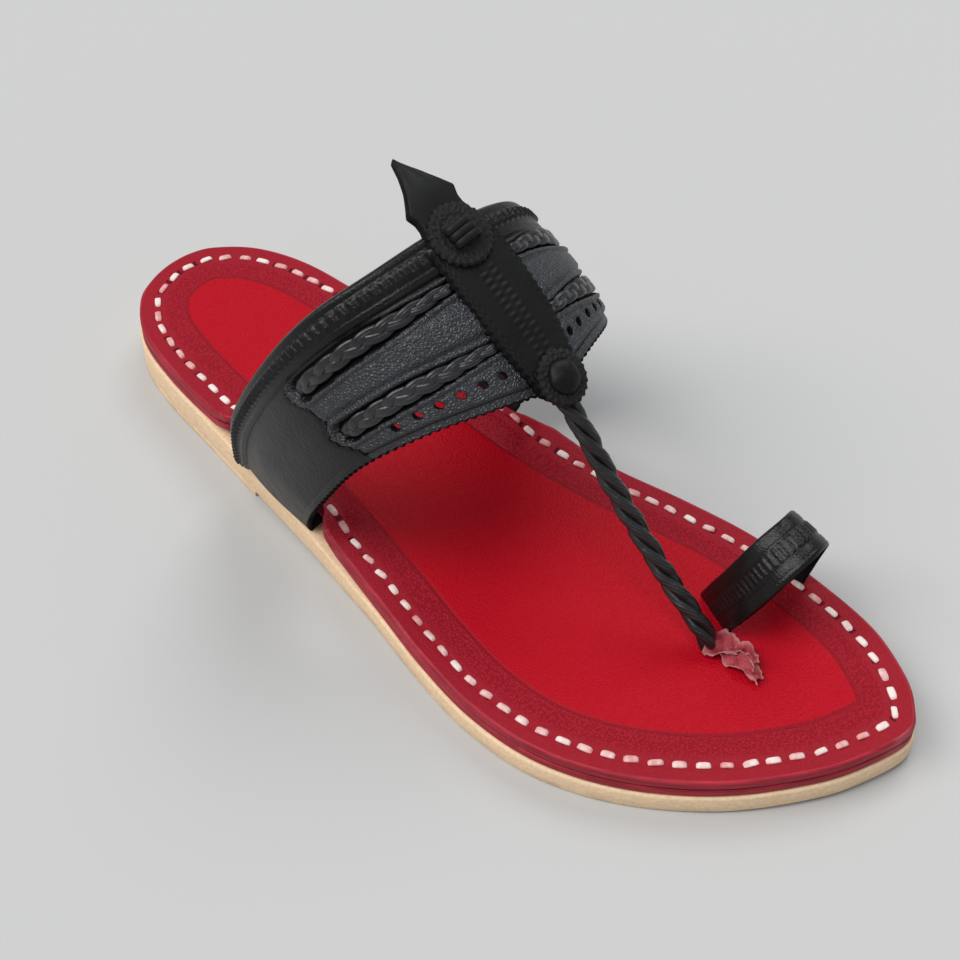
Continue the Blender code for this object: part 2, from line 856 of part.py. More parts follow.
def leaf_stations():
    shares = [cut.along for cut in LEAF_CUTS if cut.along < LEAF_PINKED_FROM]
    teeth = round((1.0 - LEAF_PINKED_FROM) * LEAF_LENGTH / TOOTH_PITCH)
    pinked = [LEAF_PINKED_FROM + (0.97 - LEAF_PINKED_FROM) * i / (2 * teeth) for i in range(2 * teeth + 1)]
    return shares + pinked + [1.0]


def leaf(collection):
    rings = []
    first = len([cut for cut in LEAF_CUTS if cut.along < LEAF_PINKED_FROM])
    for i, share in enumerate(leaf_stations()):
        width = leaf_width(share)
        if i > first and share < 0.98:
            width -= TOOTH_DEPTH * ((i - first) % 2)
        low = -LEAF_SINK
        high = LEAF_THICKNESS
        row = [
            (-width, low),
            (width, low),
            (width, high - LEAF_ROUND),
            (width * 0.90, high),
            (0.0, high),
            (-width * 0.90, high),
            (-width, high - LEAF_ROUND),
        ]
        rings.append([leaf_point(share, across, height) for across, height in row])
    return loft("leaf", rings, "black_leather", collection)


def loft(name, rings, finish, collection, smooth=40):
    """A closed solid through rings of equal counts, with flat ends."""
    mesh = bmesh.new()
    rows = [[mesh.verts.new(p) for p in ring] for ring in rings]
    for low, high in zip(rows, rows[1:]):
        bridge(mesh, low, high)
    mesh.faces.new(rows[0][::-1])
    mesh.faces.new(rows[-1])
    return finish_mesh(name, mesh, finish, collection, smooth)


def rope_path():
    """The rope strap from under the leaf's front end to the insole between the first two toes."""
    top, normal = spine_frame(FRONT_DISC_SHARE)
    foot = Vector((ROPE_FOOT_X, ROPE_FOOT_Y, bed(ROPE_FOOT_Y) + GAP))
    neck = SPINE[-1] + Vector((0.0, ROPE_NECK_AHEAD, -ROPE_NECK_DROP))
    start = top - normal * (ROPE_RADIUS * 0.75)
    return [
        start,
        neck,
        neck.lerp(foot, 0.33) - Vector((0.0, ROPE_SAG, ROPE_SAG)),
        neck.lerp(foot, 0.68),
        foot + Vector((0.0, -ROPE_FOOT_BACK, ROPE_FOOT_RISE)),
        foot,
    ]


def rope(collection):
    """A twisted rope: a lobed section that turns as it goes down."""
    path = rope_path()
    places = even_places([path], ROPE_STATIONS)
    rings = []
    run = 0.0
    last = len(path) - 1
    sides = 4 * ROPE_STRANDS
    for k, place in enumerate(places):
        centre = curve_at(path, place)
        if k:
            run += (centre - curve_at(path, places[k - 1])).length
        ahead = curve_at(path, min(place + 0.05, last)) - curve_at(path, max(place - 0.05, 0.0))
        if k == ROPE_STATIONS:
            ahead = Vector((0.0, 0.0, -1.0))
        across = Vector((1.0, 0.0, 0.0))
        up = ahead.normalized().cross(across).normalized()
        across = up.cross(ahead.normalized()).normalized()
        ring = []
        for s in range(sides):
            angle = 2 * math.pi * s / sides
            turn = 2 * math.pi * run / ROPE_TURN
            radius = ROPE_RADIUS * (1 + 0.13 * math.cos(ROPE_STRANDS * angle))
            angle += turn
            ring.append(centre + (across * math.cos(angle) + up * math.sin(angle)) * radius)
        rings.append(ring)
    return loft("rope", rings, "black_braid", collection, smooth=60)


def boolean(target, other, operation):
    modifier = target.modifiers.new(other.name, "BOOLEAN")
    modifier.operation = operation
    modifier.object = other
    modifier.solver = "EXACT"


def hide_tool(obj):
    obj.hide_render = True
    obj.display_type = "WIRE"


def upper(collection, tools):
    """Band, leaf and rope strap joined into one hollow solid, with the punched holes cut."""
    body = band(collection)
    cutters = punch_cutters(tools)
    spine = leaf(tools)
    strap = rope(tools)
    boolean(body, cutters, "DIFFERENCE")
    boolean(body, spine, "UNION")
    boolean(body, strap, "UNION")
    for tool in (cutters, spine, strap):
        hide_tool(tool)
    return body


# Braids


def column_place(is_outer, share):
    last = len(PLACES) - 1
    crest = min(range(len(PLACES)), key=lambda i: abs(PLACES[i] - CREST_PLACE))
    column = share * crest if is_outer else last - share * (last - crest)
    low = min(int(column), last - 1)
    return PLACES[low] + (PLACES[low + 1] - PLACES[low]) * (column - low)


def braid(name, is_outer, slot, collection):
    """A plaited strip lying in its slot: a domed section whose crown swings from side to side."""
    row = sum(slot) / 2
    first = SLOT_START + BRAID_END_SHARE
    last = SLOT_END - BRAID_END_SHARE
    ends = [band_point(column_place(is_outer, share), row) for share in (first, last)]
    turns = round((ends[1] - ends[0]).length / BRAID_PITCH)
    rings = []
    for k in range(BRAID_STATIONS + 1):
        t = k / BRAID_STATIONS
        share = first + (last - first) * t
        place = column_place(is_outer, share)
        centre = band_point(place, row)
        normal = band_normal(place, row)
        across = (curve_at(FRONT_EDGE, place) - curve_at(REAR_EDGE, place)).normalized()
        taper = min(1.0, 0.45 + 5 * min(t, 1 - t))
        swing = math.sin(2 * math.pi * turns * t)
        half = BRAID_WIDTH / 2 * taper * (0.90 + 0.10 * abs(swing))
        rise = BRAID_HEIGHT * taper
        section = [
            (-1.00, GAP / rise),
            (1.00, GAP / rise),
            (1.05, 0.45),
            (0.62 + 0.25 * swing, 0.86 - 0.12 * swing),
            (0.18 * swing, 1.00),
            (-0.62 + 0.25 * swing, 0.86 + 0.12 * swing),
            (-1.05, 0.45),
        ]
        rings.append([centre + across * (half * a) + normal * (rise * h) for a, h in section])
    return loft(name, rings, "black_braid", collection, smooth=50)


# Ornaments on the leaf


def toothed_disc(name, share, radius, teeth, collection):
    """A pinked leather disc lying on the leaf."""
    centre, normal = spine_frame(share)
    across = Vector((1.0, 0.0, 0.0))
    along = normal.cross(across).normalized()
    rings = []
    low = LEAF_THICKNESS + GAP
    for height, shrink in ((low, 0.0), (low + DISC_THICKNESS, DISC_ROUND)):
        ring = []
        for i in range(2 * teeth):
            reach = radius - shrink - (DISC_TOOTH if i % 2 else 0.0)
            angle = math.pi * i / teeth
            ring.append(
                centre
                + across * (reach * math.cos(angle))
                + along * (reach * math.sin(angle))
                + normal * height
            )
        rings.append(ring)
    return loft(name, rings, "black_leather", collection)


def rosette_button(share, collection):
    centre, normal = spine_frame(share)
    base = LEAF_THICKNESS + 2 * GAP + DISC_THICKNESS
    across = Vector((1.0, 0.0, 0.0))
    along = normal.cross(across).normalized()
    rings = []
    for height, width in ((0.0, 0.94), (0.35, 1.0), (0.75, 0.80), (1.0, 0.42)):
        ring = []
        for i in range(16):
            angle = 2 * math.pi * i / 16
            flat = across * math.cos(angle) + along * math.sin(angle)
            ring.append(centre + flat * (BUTTON_RADIUS * width) + normal * (base + BUTTON_HEIGHT * height))
        rings.append(ring)
    return loft("rosette_button", rings, "black_leather", collection)


def rosette_loop(share, collection):
    """A small arched tab of leather standing on the rear disc."""
    centre, normal = spine_frame(share)
    base = LEAF_THICKNESS + 2 * GAP + DISC_THICKNESS
    across = Vector((1.0, 0.0, 0.0))
    along = normal.cross(across).normalized()
    half = REAR_DISC_RADIUS * 0.52
    rings = []
    stations = 10
    for k in range(stations + 1):
        angle = math.pi * k / stations
        x = -half * math.cos(angle)
        rise = LOOP_RISE * math.sin(angle)
        inner = 1 - LOOP_LEATHER / half
        low = max(0.0, rise - LOOP_LEATHER * math.sin(angle))
        ring = []
        for side in (-1, 1):
            corner = along * (side * LOOP_WIDTH / 2)
            outer_point = centre + across * x + normal * (base + rise) + corner
            inner_point = centre + across * (x * inner) + normal * (base + low) + corner
            ring += [outer_point, inner_point] if side < 0 else [inner_point, outer_point]
        rings.append(ring)
    return loft("rosette_loop", rings, "black_leather", collection)


# Toe ring and lace


def toe_ring(collection):
    """The flat strap arched over the great toe, both ends on the insole."""
    points = []
    widths = []
    for cut in RING_CUTS:
        x = RING_ROOT_X + RING_SPAN * (cut.span + 0.5)
        y = RING_ROOT_Y + RING_AHEAD * cut.ahead
        points.append(Vector((x, y, bed(y) + GAP + RING_HEIGHT * cut.up)))
        widths.append(Vector((cut.width * RING_WIDTH, cut.turn, cut.yaw)))
    places = even_places([points], 24)
    rings = []
    last = len(points) - 1
    for place in places:
        centre = curve_at(points, place)
        size = curve_at(widths, place)
        ahead = curve_at(points, min(place + 0.05, last)) - curve_at(points, max(place - 0.05, 0.0))
        level = math.cos(size.y)
        width = Vector((level * math.sin(size.z), level * math.cos(size.z), -math.sin(size.y)))
        out = width.cross(ahead).normalized()
        width = width.normalized() * (size.x / 2)
        half = out * (RING_LEATHER / 2)
        ring = [centre - width + half, centre + width + half, centre + width - half, centre - width - half]
        if place in (places[0], places[-1]):
            for point in ring:
                point.z = bed(point.y) + GAP
        rings.append(ring)
    return loft("toe_ring", rings, "black_leather", collection)


def lace_end(collection):
    """The raw end of the lace lying on the insole ahead of the rope's foot."""
    start = Vector((ROPE_FOOT_X, ROPE_FOOT_Y + ROPE_RADIUS * 1.13 + GAP, 0.0))
    rings = []
    for cut in LACE_CUTS:
        y = start.y + LACE_LENGTH * cut.along
        x = start.x + LACE_WIDTH * cut.side
        floor = bed(y) + GAP
        middle = floor + LACE_HEIGHT * cut.up
        half = LACE_WIDTH * cut.width / 2
        tall = LACE_HEIGHT * cut.height / 2
        low = max(floor, middle - tall)
        ring = [
            Vector((x - half, y, low + tall * 0.15)),
            Vector((x, y, low)),
            Vector((x + half, y, low + tall * 0.10)),
            Vector((x + half * 0.92, y, middle + tall * 0.45)),
            Vector((x + half * 0.25, y, middle + tall)),
            Vector((x - half * 0.35, y, middle + tall * 0.35)),
            Vector((x - half * 0.90, y, middle + tall * 0.75)),
        ]
        rings.append(ring)
    return loft("lace_end", rings, "raw_lace", collection)


def main():
    clear_scene()
    parts = new_collection("kolhapuri_sandal")
    tools = new_collection("cutters")
    for name in FINISHES:
        material(name)
    outsole(parts)
    heel_piece(parts)
    midsole(parts)
    insole(parts)
    upper(parts, tools)
    for number, slot in enumerate(SLOTS, 1):
        braid(f"braid_outer_{number}", True, slot, parts)
        braid(f"braid_inner_{number}", False, slot, parts)
    toothed_disc("rosette_rear", REAR_DISC_SHARE, REAR_DISC_RADIUS, 20, parts)
    rosette_loop(REAR_DISC_SHARE, parts)
    toothed_disc("rosette_front", FRONT_DISC_SHARE, FRONT_DISC_RADIUS, 16, parts)
    rosette_button(FRONT_DISC_SHARE, parts)
    toe_ring(parts)
    lace_end(parts)


main()
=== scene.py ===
"""The looks of one right-foot kolhapuri sandal: red footbed, tan sole, black band, rope strap, toe ring."""

import math
from collections import namedtuple

import bmesh
import bpy
import numpy as np
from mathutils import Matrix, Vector


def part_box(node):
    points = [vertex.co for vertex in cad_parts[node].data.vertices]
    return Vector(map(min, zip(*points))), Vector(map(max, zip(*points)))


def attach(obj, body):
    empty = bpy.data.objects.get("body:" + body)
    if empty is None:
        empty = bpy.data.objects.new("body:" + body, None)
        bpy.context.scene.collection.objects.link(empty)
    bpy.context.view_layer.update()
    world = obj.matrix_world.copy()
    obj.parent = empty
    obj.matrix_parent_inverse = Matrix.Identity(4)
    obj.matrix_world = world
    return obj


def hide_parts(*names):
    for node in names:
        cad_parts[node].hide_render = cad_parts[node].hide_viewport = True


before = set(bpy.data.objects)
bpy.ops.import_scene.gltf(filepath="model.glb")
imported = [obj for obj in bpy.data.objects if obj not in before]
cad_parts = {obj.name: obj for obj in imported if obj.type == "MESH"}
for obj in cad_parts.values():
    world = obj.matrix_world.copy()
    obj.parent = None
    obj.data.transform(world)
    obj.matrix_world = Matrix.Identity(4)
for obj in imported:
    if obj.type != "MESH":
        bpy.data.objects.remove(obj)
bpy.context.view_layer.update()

MM = 0.001
TURN = 2 * math.pi

# Sizes read from the frame
SOLE_LOW, SOLE_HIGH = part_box("outsole")
HEEL_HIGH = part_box("heel_piece")[1]
SOLE_LENGTH = SOLE_HIGH.y - SOLE_LOW.y
BALL_WIDTH = SOLE_HIGH.x - SOLE_LOW.x
HEEL_Y = SOLE_LOW.y
BREAST_Y = HEEL_HIGH.y
LIFT = HEEL_HIGH.z

# Sizes of the maker's pieces
GAP = 0.3 * MM
OUTSOLE_THICKNESS = 9.4 * MM
TOE_SPRING = 1.5 * MM
MIDSOLE_THICKNESS = 2.4 * MM
INSOLE_THICKNESS = 3.0 * MM
LAYER_INSET = 0.6 * MM
STITCH_INSET = 5.8 * MM
STITCH_PITCH = 5.7 * MM
STITCH_HALF_LENGTHS = (1.85 * MM, 2.25 * MM)
STITCH_HALF_WIDTHS = (0.74 * MM, 0.96 * MM)
LEATHER = 1.8 * MM
REAR_CREST = Vector((2.5, 79.3, 100.0)) * MM
FRONT_CREST = Vector((4.5, 116.5, 72.9)) * MM
REAR_REACH = 40.8 * MM
FRONT_REACH = 41.2 * MM
ROOT_REAR_Y = 31.0 * MM
ROOT_LENGTH = 32.5 * MM
ROOT_MARGIN = 0.8 * MM
EAR_LENGTH = 9.0 * MM
DOME = 1.5 * MM
LEAF_LENGTH = 66.5 * MM
LEAF_HALF_WIDTH = 10.0 * MM
LEAF_THICKNESS = 2.2 * MM
LEAF_OVERHANG = 2.6 * MM
LEAF_TIP = (-1.5 * MM, -18.0 * MM, 7.0 * MM)
LEAF_NECK = (-0.75 * MM, -9.0 * MM, 5.04 * MM)
CREST_RADIUS = 100 * MM
TOOTH_PITCH = 2.1 * MM
TOOTH_DEPTH = 0.62 * MM
PLAIT_PITCH = 17.0 * MM
PLAIT_SWING = 1.15 * MM
PLAIT_RISE = 0.42 * MM
PLAIT_STRIP = (1.28 * MM, 0.45 * MM)
ROPE_RADIUS = 3.2 * MM
ROPE_PITCH = 25 * MM
ROPE_LAY = 1.42 * MM
ROPE_STRIP = (1.42 * MM, 1.30 * MM)
ROPE_NECK = (0, 3.2 * MM, -5.0 * MM)
ROPE_FOOT = (4.2 * MM, 166.49 * MM)
REAR_DISC_SHARE = 0.35
FRONT_DISC_SHARE = 0.94

SIDEWAYS = np.array([1.0, 0.0, 0.0])
UPWARDS = np.array([0.0, 0.0, 1.0])

Station = namedtuple("Station", "along inner outer")
Level = namedtuple("Level", "along lift thick spring")
Fold = namedtuple("Fold", "out_rear on_rear up_rear out_front on_front up_front")
Slot = namedtuple("Slot", "row_low row_high half")
Line = namedtuple("Line", "row half depth")
LeafCut = namedtuple("LeafCut", "along width")
RingCut = namedtuple("RingCut", "span ahead up width turn yaw")
Disc = namedtuple("Disc", "end share radius teeth dimple")
Flap = namedtuple("Flap", "places widths drifts length ahead lift")

# The sole's outline: shares of its length from the heel's end, and of its width from the long axis.
HEEL_END = -0.011
TOE_END = -0.088
OUTLINE = [
    Station(0.005, -0.098, 0.084),
    Station(0.02, -0.172, 0.168),
    Station(0.06, -0.262, 0.258),
    Station(0.12, -0.316, 0.312),
    Station(0.20, -0.329, 0.354),
    Station(0.30, -0.318, 0.408),
    Station(0.40, -0.306, 0.459),
    Station(0.50, -0.303, 0.520),
    Station(0.58, -0.319, 0.580),
    Station(0.66, -0.354, 0.620),
    Station(0.74, -0.376, 0.610),
    Station(0.82, -0.365, 0.527),
    Station(0.90, -0.323, 0.368),
    Station(0.96, -0.236, 0.176),
    Station(0.988, -0.160, 0.030),
]

# The outsole's heights: shares of its seat on the heel lift, of its thickness and of the toe spring.
LEVELS = [
    Level(0.00, 1.0, 1.00, 0.0),
    Level(0.29, 1.0, 0.94, 0.0),
    Level(0.48, 0.0, 0.70, 0.0),
    Level(0.60, 0.0, 0.64, 0.0),
    Level(0.84, 0.0, 0.63, 0.0),
    Level(1.00, 0.0, 0.62, 1.0),
]

# The band's two sides, from above the root towards the crest.
OUTER_FOLDS = [
    Fold(0.82, 0.02, 0.06, 0.90, 0.02, 0.08),
    Fold(0.95, 0.19, 0.32, 1.02, 0.21, 0.38),
    Fold(1.00, 0.49, 0.63, 0.96, 0.46, 0.73),
    Fold(0.88, 0.74, 0.86, 0.70, 0.71, 0.93),
    Fold(0.52, 0.93, 0.98, 0.38, 0.89, 1.00),
]
INNER_FOLDS = [
    Fold(0.755, 0.02, 0.06, 0.80, 0.02, 0.08),
    Fold(0.94, 0.27, 0.32, 0.97, 0.19, 0.38),
    Fold(0.99, 0.62, 0.58, 0.97, 0.45, 0.68),
    Fold(0.85, 0.86, 0.745, 0.79, 0.73, 0.86),
    Fold(0.54, 0.96, 0.905, 0.46, 0.90, 0.97),
]
INNER_ROOT_AHEAD = 4.0 * MM
INNER_ROOT_EXTRA = 10.0 * MM

# What is worked into the band: rows run 0 to 1 from its rear edge to its front edge,
# shares run 0 to 1 from a root to the crest.
BORDER_ROW = 0.205
SLOTS = [Slot(0.322, 0.285, 3.3 * MM), Slot(0.735, 0.665, 3.0 * MM)]
SLOT_START = 0.535
SLOT_END = 0.935
OVERLAY_START = 0.505
PUNCHES = [0.646, 0.700, 0.750, 0.800, 0.850, 0.895]
PUNCH_ROWS = (0.862, 0.830)
PUNCH_RADIUS = 1.15 * MM
SEAM_ROW = 0.935
PRESSED_LINES = [
    Line(0.052, 0.008, 0.28 * MM),
    Line(0.152, 0.008, 0.28 * MM),
    Line(0.184, 0.006, 0.25 * MM),
    Line(BORDER_ROW + 0.012, 0.012, 0.20 * MM),
    Line(SEAM_ROW, 0.010, 0.30 * MM),
]
BORDER_RISE = 0.9 * MM
RIB_RISE = 1.05 * MM
OVERLAY_RISE = 1.0 * MM
PANEL_RISE = 0.7 * MM
SLOT_SINK = 1.55 * MM
EDGE_ROUND = 0.45 * MM

LEAF_CUTS = [
    LeafCut(0.00, 0.03),
    LeafCut(0.06, 0.20),
    LeafCut(0.12, 0.42),
    LeafCut(0.17, 0.66),
    LeafCut(0.195, 0.79),
    LeafCut(0.23, 0.70),
    LeafCut(0.26, 0.70),
    LeafCut(0.30, 0.80),
    LeafCut(0.36, 0.95),
    LeafCut(0.50, 1.00),
    LeafCut(0.72, 0.94),
    LeafCut(0.88, 0.76),
    LeafCut(0.96, 0.66),
    LeafCut(1.00, 0.40),
]
LEAF_PINKED_FROM = 0.30
BEAD_PITCH = 1.8 * MM
BEAD_RISE = 0.30 * MM

RING_ROOT = (-29.0 * MM, 165.98 * MM)
RING_SPAN = 22.5 * MM
RING_AHEAD = 7.5 * MM
RING_HEIGHT = 28.0 * MM
RING_WIDTH = 13.0 * MM
RING_LEATHER = 2.0 * MM
RING_RIB_PITCH = 1.7 * MM
RING_RIB_RISE = 0.21 * MM
RING_CUTS = [
    RingCut(-0.50, 0.00, 0.00, 1.00, 0.00, 0.00),
    RingCut(-0.57, 0.20, 0.28, 1.00, 0.05, 0.00),
    RingCut(-0.52, 0.53, 0.60, 0.98, 0.12, 0.05),
    RingCut(-0.32, 0.87, 0.89, 0.97, 0.18, 0.12),
    RingCut(-0.01, 1.00, 1.00, 0.97, 0.20, 0.18),
    RingCut(0.30, 0.73, 0.87, 1.00, 0.18, 0.25),
    RingCut(0.48, 0.27, 0.57, 1.03, 0.10, 0.33),
    RingCut(0.55, -0.27, 0.25, 1.05, 0.04, 0.40),
    RingCut(0.50, -0.67, 0.00, 1.05, 0.00, 0.43),
]

DISC_THICKNESS = 0.95 * MM
DISC_BEAD_RISE = (0.22 * MM, 0.20 * MM)
BUTTON_RADIUS = 4.3 * MM
BUTTON_HEIGHT = 2.2 * MM
TAB_HALF_SPAN = 3.6 * MM
TAB_RISE = 2.2 * MM
TAB_STRIP = (0.98 * MM, 0.55 * MM)
DISCS = [
    Disc("rear", REAR_DISC_SHARE, 8.2 * MM, 27, 0.15 * MM),
    Disc("front", FRONT_DISC_SHARE, 6.9 * MM, 23, 0.10 * MM),
]

# The raw lace end's flaps, in millimetres: half widths and sideways drifts at places along each flap,
# then its length, its start ahead of the rope's foot and its lift off the footbed.
FLAPS = [
    Flap([0, 0.12, 0.5, 0.85, 1.0], [2.8, 4.8, 4.3, 2.2, 1.2], [0.4, 0.8, 0.4, -0.4, -0.8], 7.5, 0.0, 0.6),
    Flap([0, 0.3, 0.6, 0.85, 1.0], [1.6, 2.6, 2.4, 1.9, 1.2], [1.2, 1.6, 1.2, 1.8, 3.0], 11.5, 4.6, 0.0),
    Flap([0, 0.3, 0.7, 1.0], [1.4, 1.8, 1.5, 1.3], [-0.5, -1.6, -1.4, 1.0], 8.0, 5.5, 1.2),
]

# The camera, in the shoe's own frame
EYE = Vector((249.6, 304.2, 395.1)) * MM
AIM = Vector((7.0, 94.0, 24.0)) * MM
LENS = 71.0


# Curves and steps


def smooth(points, places, closed=False):
    """Points on the smooth curve through the given points, at places counted in points."""
    points = np.asarray(points, float)
    places = np.asarray(places, float)
    count = len(points)
    if closed:
        index = np.floor(places).astype(int)
        near = [points[(index + k) % count] for k in (-1, 0, 1, 2)]
    else:
        ends = [2 * points[0] - points[1]], [2 * points[-1] - points[-2]]
        padded = np.concatenate([ends[0], points, ends[1]])
        index = np.clip(np.floor(places).astype(int), 0, count - 2)
        near = [padded[index + k] for k in (0, 1, 2, 3)]
    t = (places - index).reshape(-1, *([1] * (points.ndim - 1)))
    a, b, c, d = near
    return 0.5 * (
        2 * b + (c - a) * t + (2 * a - 5 * b + 4 * c - d) * t**2 + (3 * b - 3 * c + d - a) * t**3
    )


def run_along(track):
    """The length covered from the first of a line of points to each of them."""
    return np.concatenate([[0], np.cumsum(np.linalg.norm(np.diff(track, axis=0), axis=1))])


def even(points, count):
    """Places at equal lengths along the smooth curve, ends included."""
    last = len(points) - 1
    fine = np.linspace(0, last, 60 * last + 1)
    run = run_along(smooth(points, fine))
    return np.interp(np.linspace(0, run[-1], count + 1), run, fine)


def ease(value, low, high):
    """0 below low, 1 above high, eased between."""
    t = np.clip((np.asarray(value, float) - low) / (high - low), 0, 1)
    return t * t * (3 - 2 * t)


def window(value, low, high, ramp):
    """1 from low to high, eased to 0 over a ramp on both sides."""
    return ease(value, low - ramp, low) * (1 - ease(value, high, high + ramp))


def ridge(value, centre, half):
    """A rounded ridge of height 1 about the centre."""
    return np.clip(1 - ((value - centre) / half) ** 2, 0, 1)


def column(rows, name):
    return np.array([getattr(row, name) for row in rows])


def level(along, name):
    """One of the outsole's levels, eased between its table's places."""
    places = column(LEVELS, "along")
    values = column(LEVELS, name)
    index = np.clip(np.searchsorted(places, along, side="right") - 1, 0, len(places) - 2)
    t = ease((along - places[index]) / (places[index + 1] - places[index]), 0, 1)
    return values[index] * (1 - t) + values[index + 1] * t


def unit(vectors):
    return vectors / np.maximum(np.linalg.norm(vectors, axis=-1, keepdims=True), 1e-12)


# Sole


def under(y):
    """The outsole's underside."""
    along = (np.asarray(y) - HEEL_Y) / SOLE_LENGTH
    return level(along, "lift") * (LIFT + GAP) + level(along, "spring") * TOE_SPRING


def seat(y):
    """The outsole's top."""
    along = (np.asarray(y) - HEEL_Y) / SOLE_LENGTH
    return under(y) + level(along, "thick") * OUTSOLE_THICKNESS


def bed(y):
    """The insole's top."""
    return seat(y) + 2 * GAP + MIDSOLE_THICKNESS + INSOLE_THICKNESS


def side_control(name):
    x = np.concatenate([[HEEL_END], column(OUTLINE, name), [TOE_END]]) * BALL_WIDTH
    y = np.concatenate([[0], column(OUTLINE, "along"), [1]]) * SOLE_LENGTH + HEEL_Y
    return np.stack([x, y], axis=1)


RUNGS = 260
TRACK_POINTS = 6000


def outline():
    """The closed outline and its inward normals: RUNGS points up the outer side, RUNGS down the inner."""
    outer = side_control("outer")
    inner = side_control("inner")
    control = np.vstack([outer, inner[-2:0:-1]])
    toe = len(outer) - 1

    def side(first, last):
        fine = np.linspace(first, last, TRACK_POINTS)
        run = run_along(smooth(control, fine, closed=True))
        want = np.linspace(0, run[-1], RUNGS + 1)[:-1]
        return smooth(control, np.interp(want, run, fine), closed=True)

    loop = np.vstack([side(0, toe), side(toe, len(control) - 1e-9)])
    ahead = unit(np.roll(loop, -2, axis=0) - np.roll(loop, 2, axis=0))
    return loop, np.stack([-ahead[:, 1], ahead[:, 0]], axis=1)


LOOP, NORMALS = outline()
LOOP_RUN = run_along(np.vstack([LOOP, LOOP[:1]]))


def edge_x(y, name):
    control = side_control(name)
    place = np.interp(y, control[:, 1], np.arange(len(control)))
    return smooth(control, [place])[0][0]


def root_span(is_outer):
    ahead = 0 if is_outer else INNER_ROOT_AHEAD
    extra = 0 if is_outer else INNER_ROOT_EXTRA
    rear = ROOT_REAR_Y + ahead
    return rear, rear + ROOT_LENGTH + extra


def by_side(x, rule):
    """A rule of the root's rear and front y, taken for each point's own side."""
    return np.where(x > 0, rule(*root_span(True)), rule(*root_span(False)))


EAR_LIFT = LEATHER + GAP
EAR_DEEP = EAR_LENGTH + ROOT_MARGIN + 2 * GAP
EAR_FADE = 7 * MM
EAR_FADE_INWARD = 4.4 * MM
CURL = 3.2 * MM
CURL_REACH = 12.5 * MM
CURL_FADE = 30 * MM
NOTCH = ROOT_MARGIN + LEATHER + 2 * GAP - LAYER_INSET + 1.2 * MM
NOTCH_LEAD = 6 * MM
NOTCH_FADE_OUTER = 6 * MM
NOTCH_FADE_INNER = 14 * MM


def notch():
    """How far the red layers are cut back beside the band's roots."""
    x, y = LOOP.T
    fade = np.where(x > 0, NOTCH_FADE_OUTER, NOTCH_FADE_INNER)

    def cut(rear, front):
        return ease(y, rear - NOTCH_LEAD, rear - MM) * (1 - ease(y - front - MM, 0, fade))

    return NOTCH * by_side(x, cut)


def raised(x, y, inset):
    """How far the red layers stand up: over the band's ear, and curled at their edge beside it."""
    past = 5 * MM
    ear = by_side(x, lambda rear, front: window(y, rear - past, front + past, EAR_FADE))
    ear = ear * (1 - ease(inset, EAR_DEEP, EAR_DEEP + EAR_FADE_INWARD))
    curl = by_side(x, lambda rear, front: window(y, rear + past, front + past, CURL_FADE))
    curl = curl * np.clip(1 - inset / CURL_REACH, 0, 1) ** 1.5
    return EAR_LIFT * ear + CURL * curl


def sole_ring(inset, rise, curled=True, base=seat):
    """A ring of points inset from the outline, at a rise above a height of the sole."""
    step = np.full(len(LOOP), inset)
    if curled:
        step = step + notch() * (1 - ease(inset, 3 * MM, STITCH_INSET))
    place = LOOP + NORMALS * step[:, None]
    z = base(place[:, 1]) + rise
    if curled:
        z = z + raised(LOOP[:, 0], LOOP[:, 1], step)
    return np.column_stack([place, z])


def point_out(mesh):
    """Turns every face of the closed pieces in a mesh to face outwards."""
    work = bmesh.new()
    work.from_mesh(mesh)
    bmesh.ops.recalc_face_normals(work, faces=work.faces)
    work.to_mesh(mesh)
    work.free()


def put(name, data):
    """Adds an object that holds the given data to the scene."""
    made = bpy.data.objects.new(name, data)
    bpy.context.scene.collection.objects.link(made)
    return made


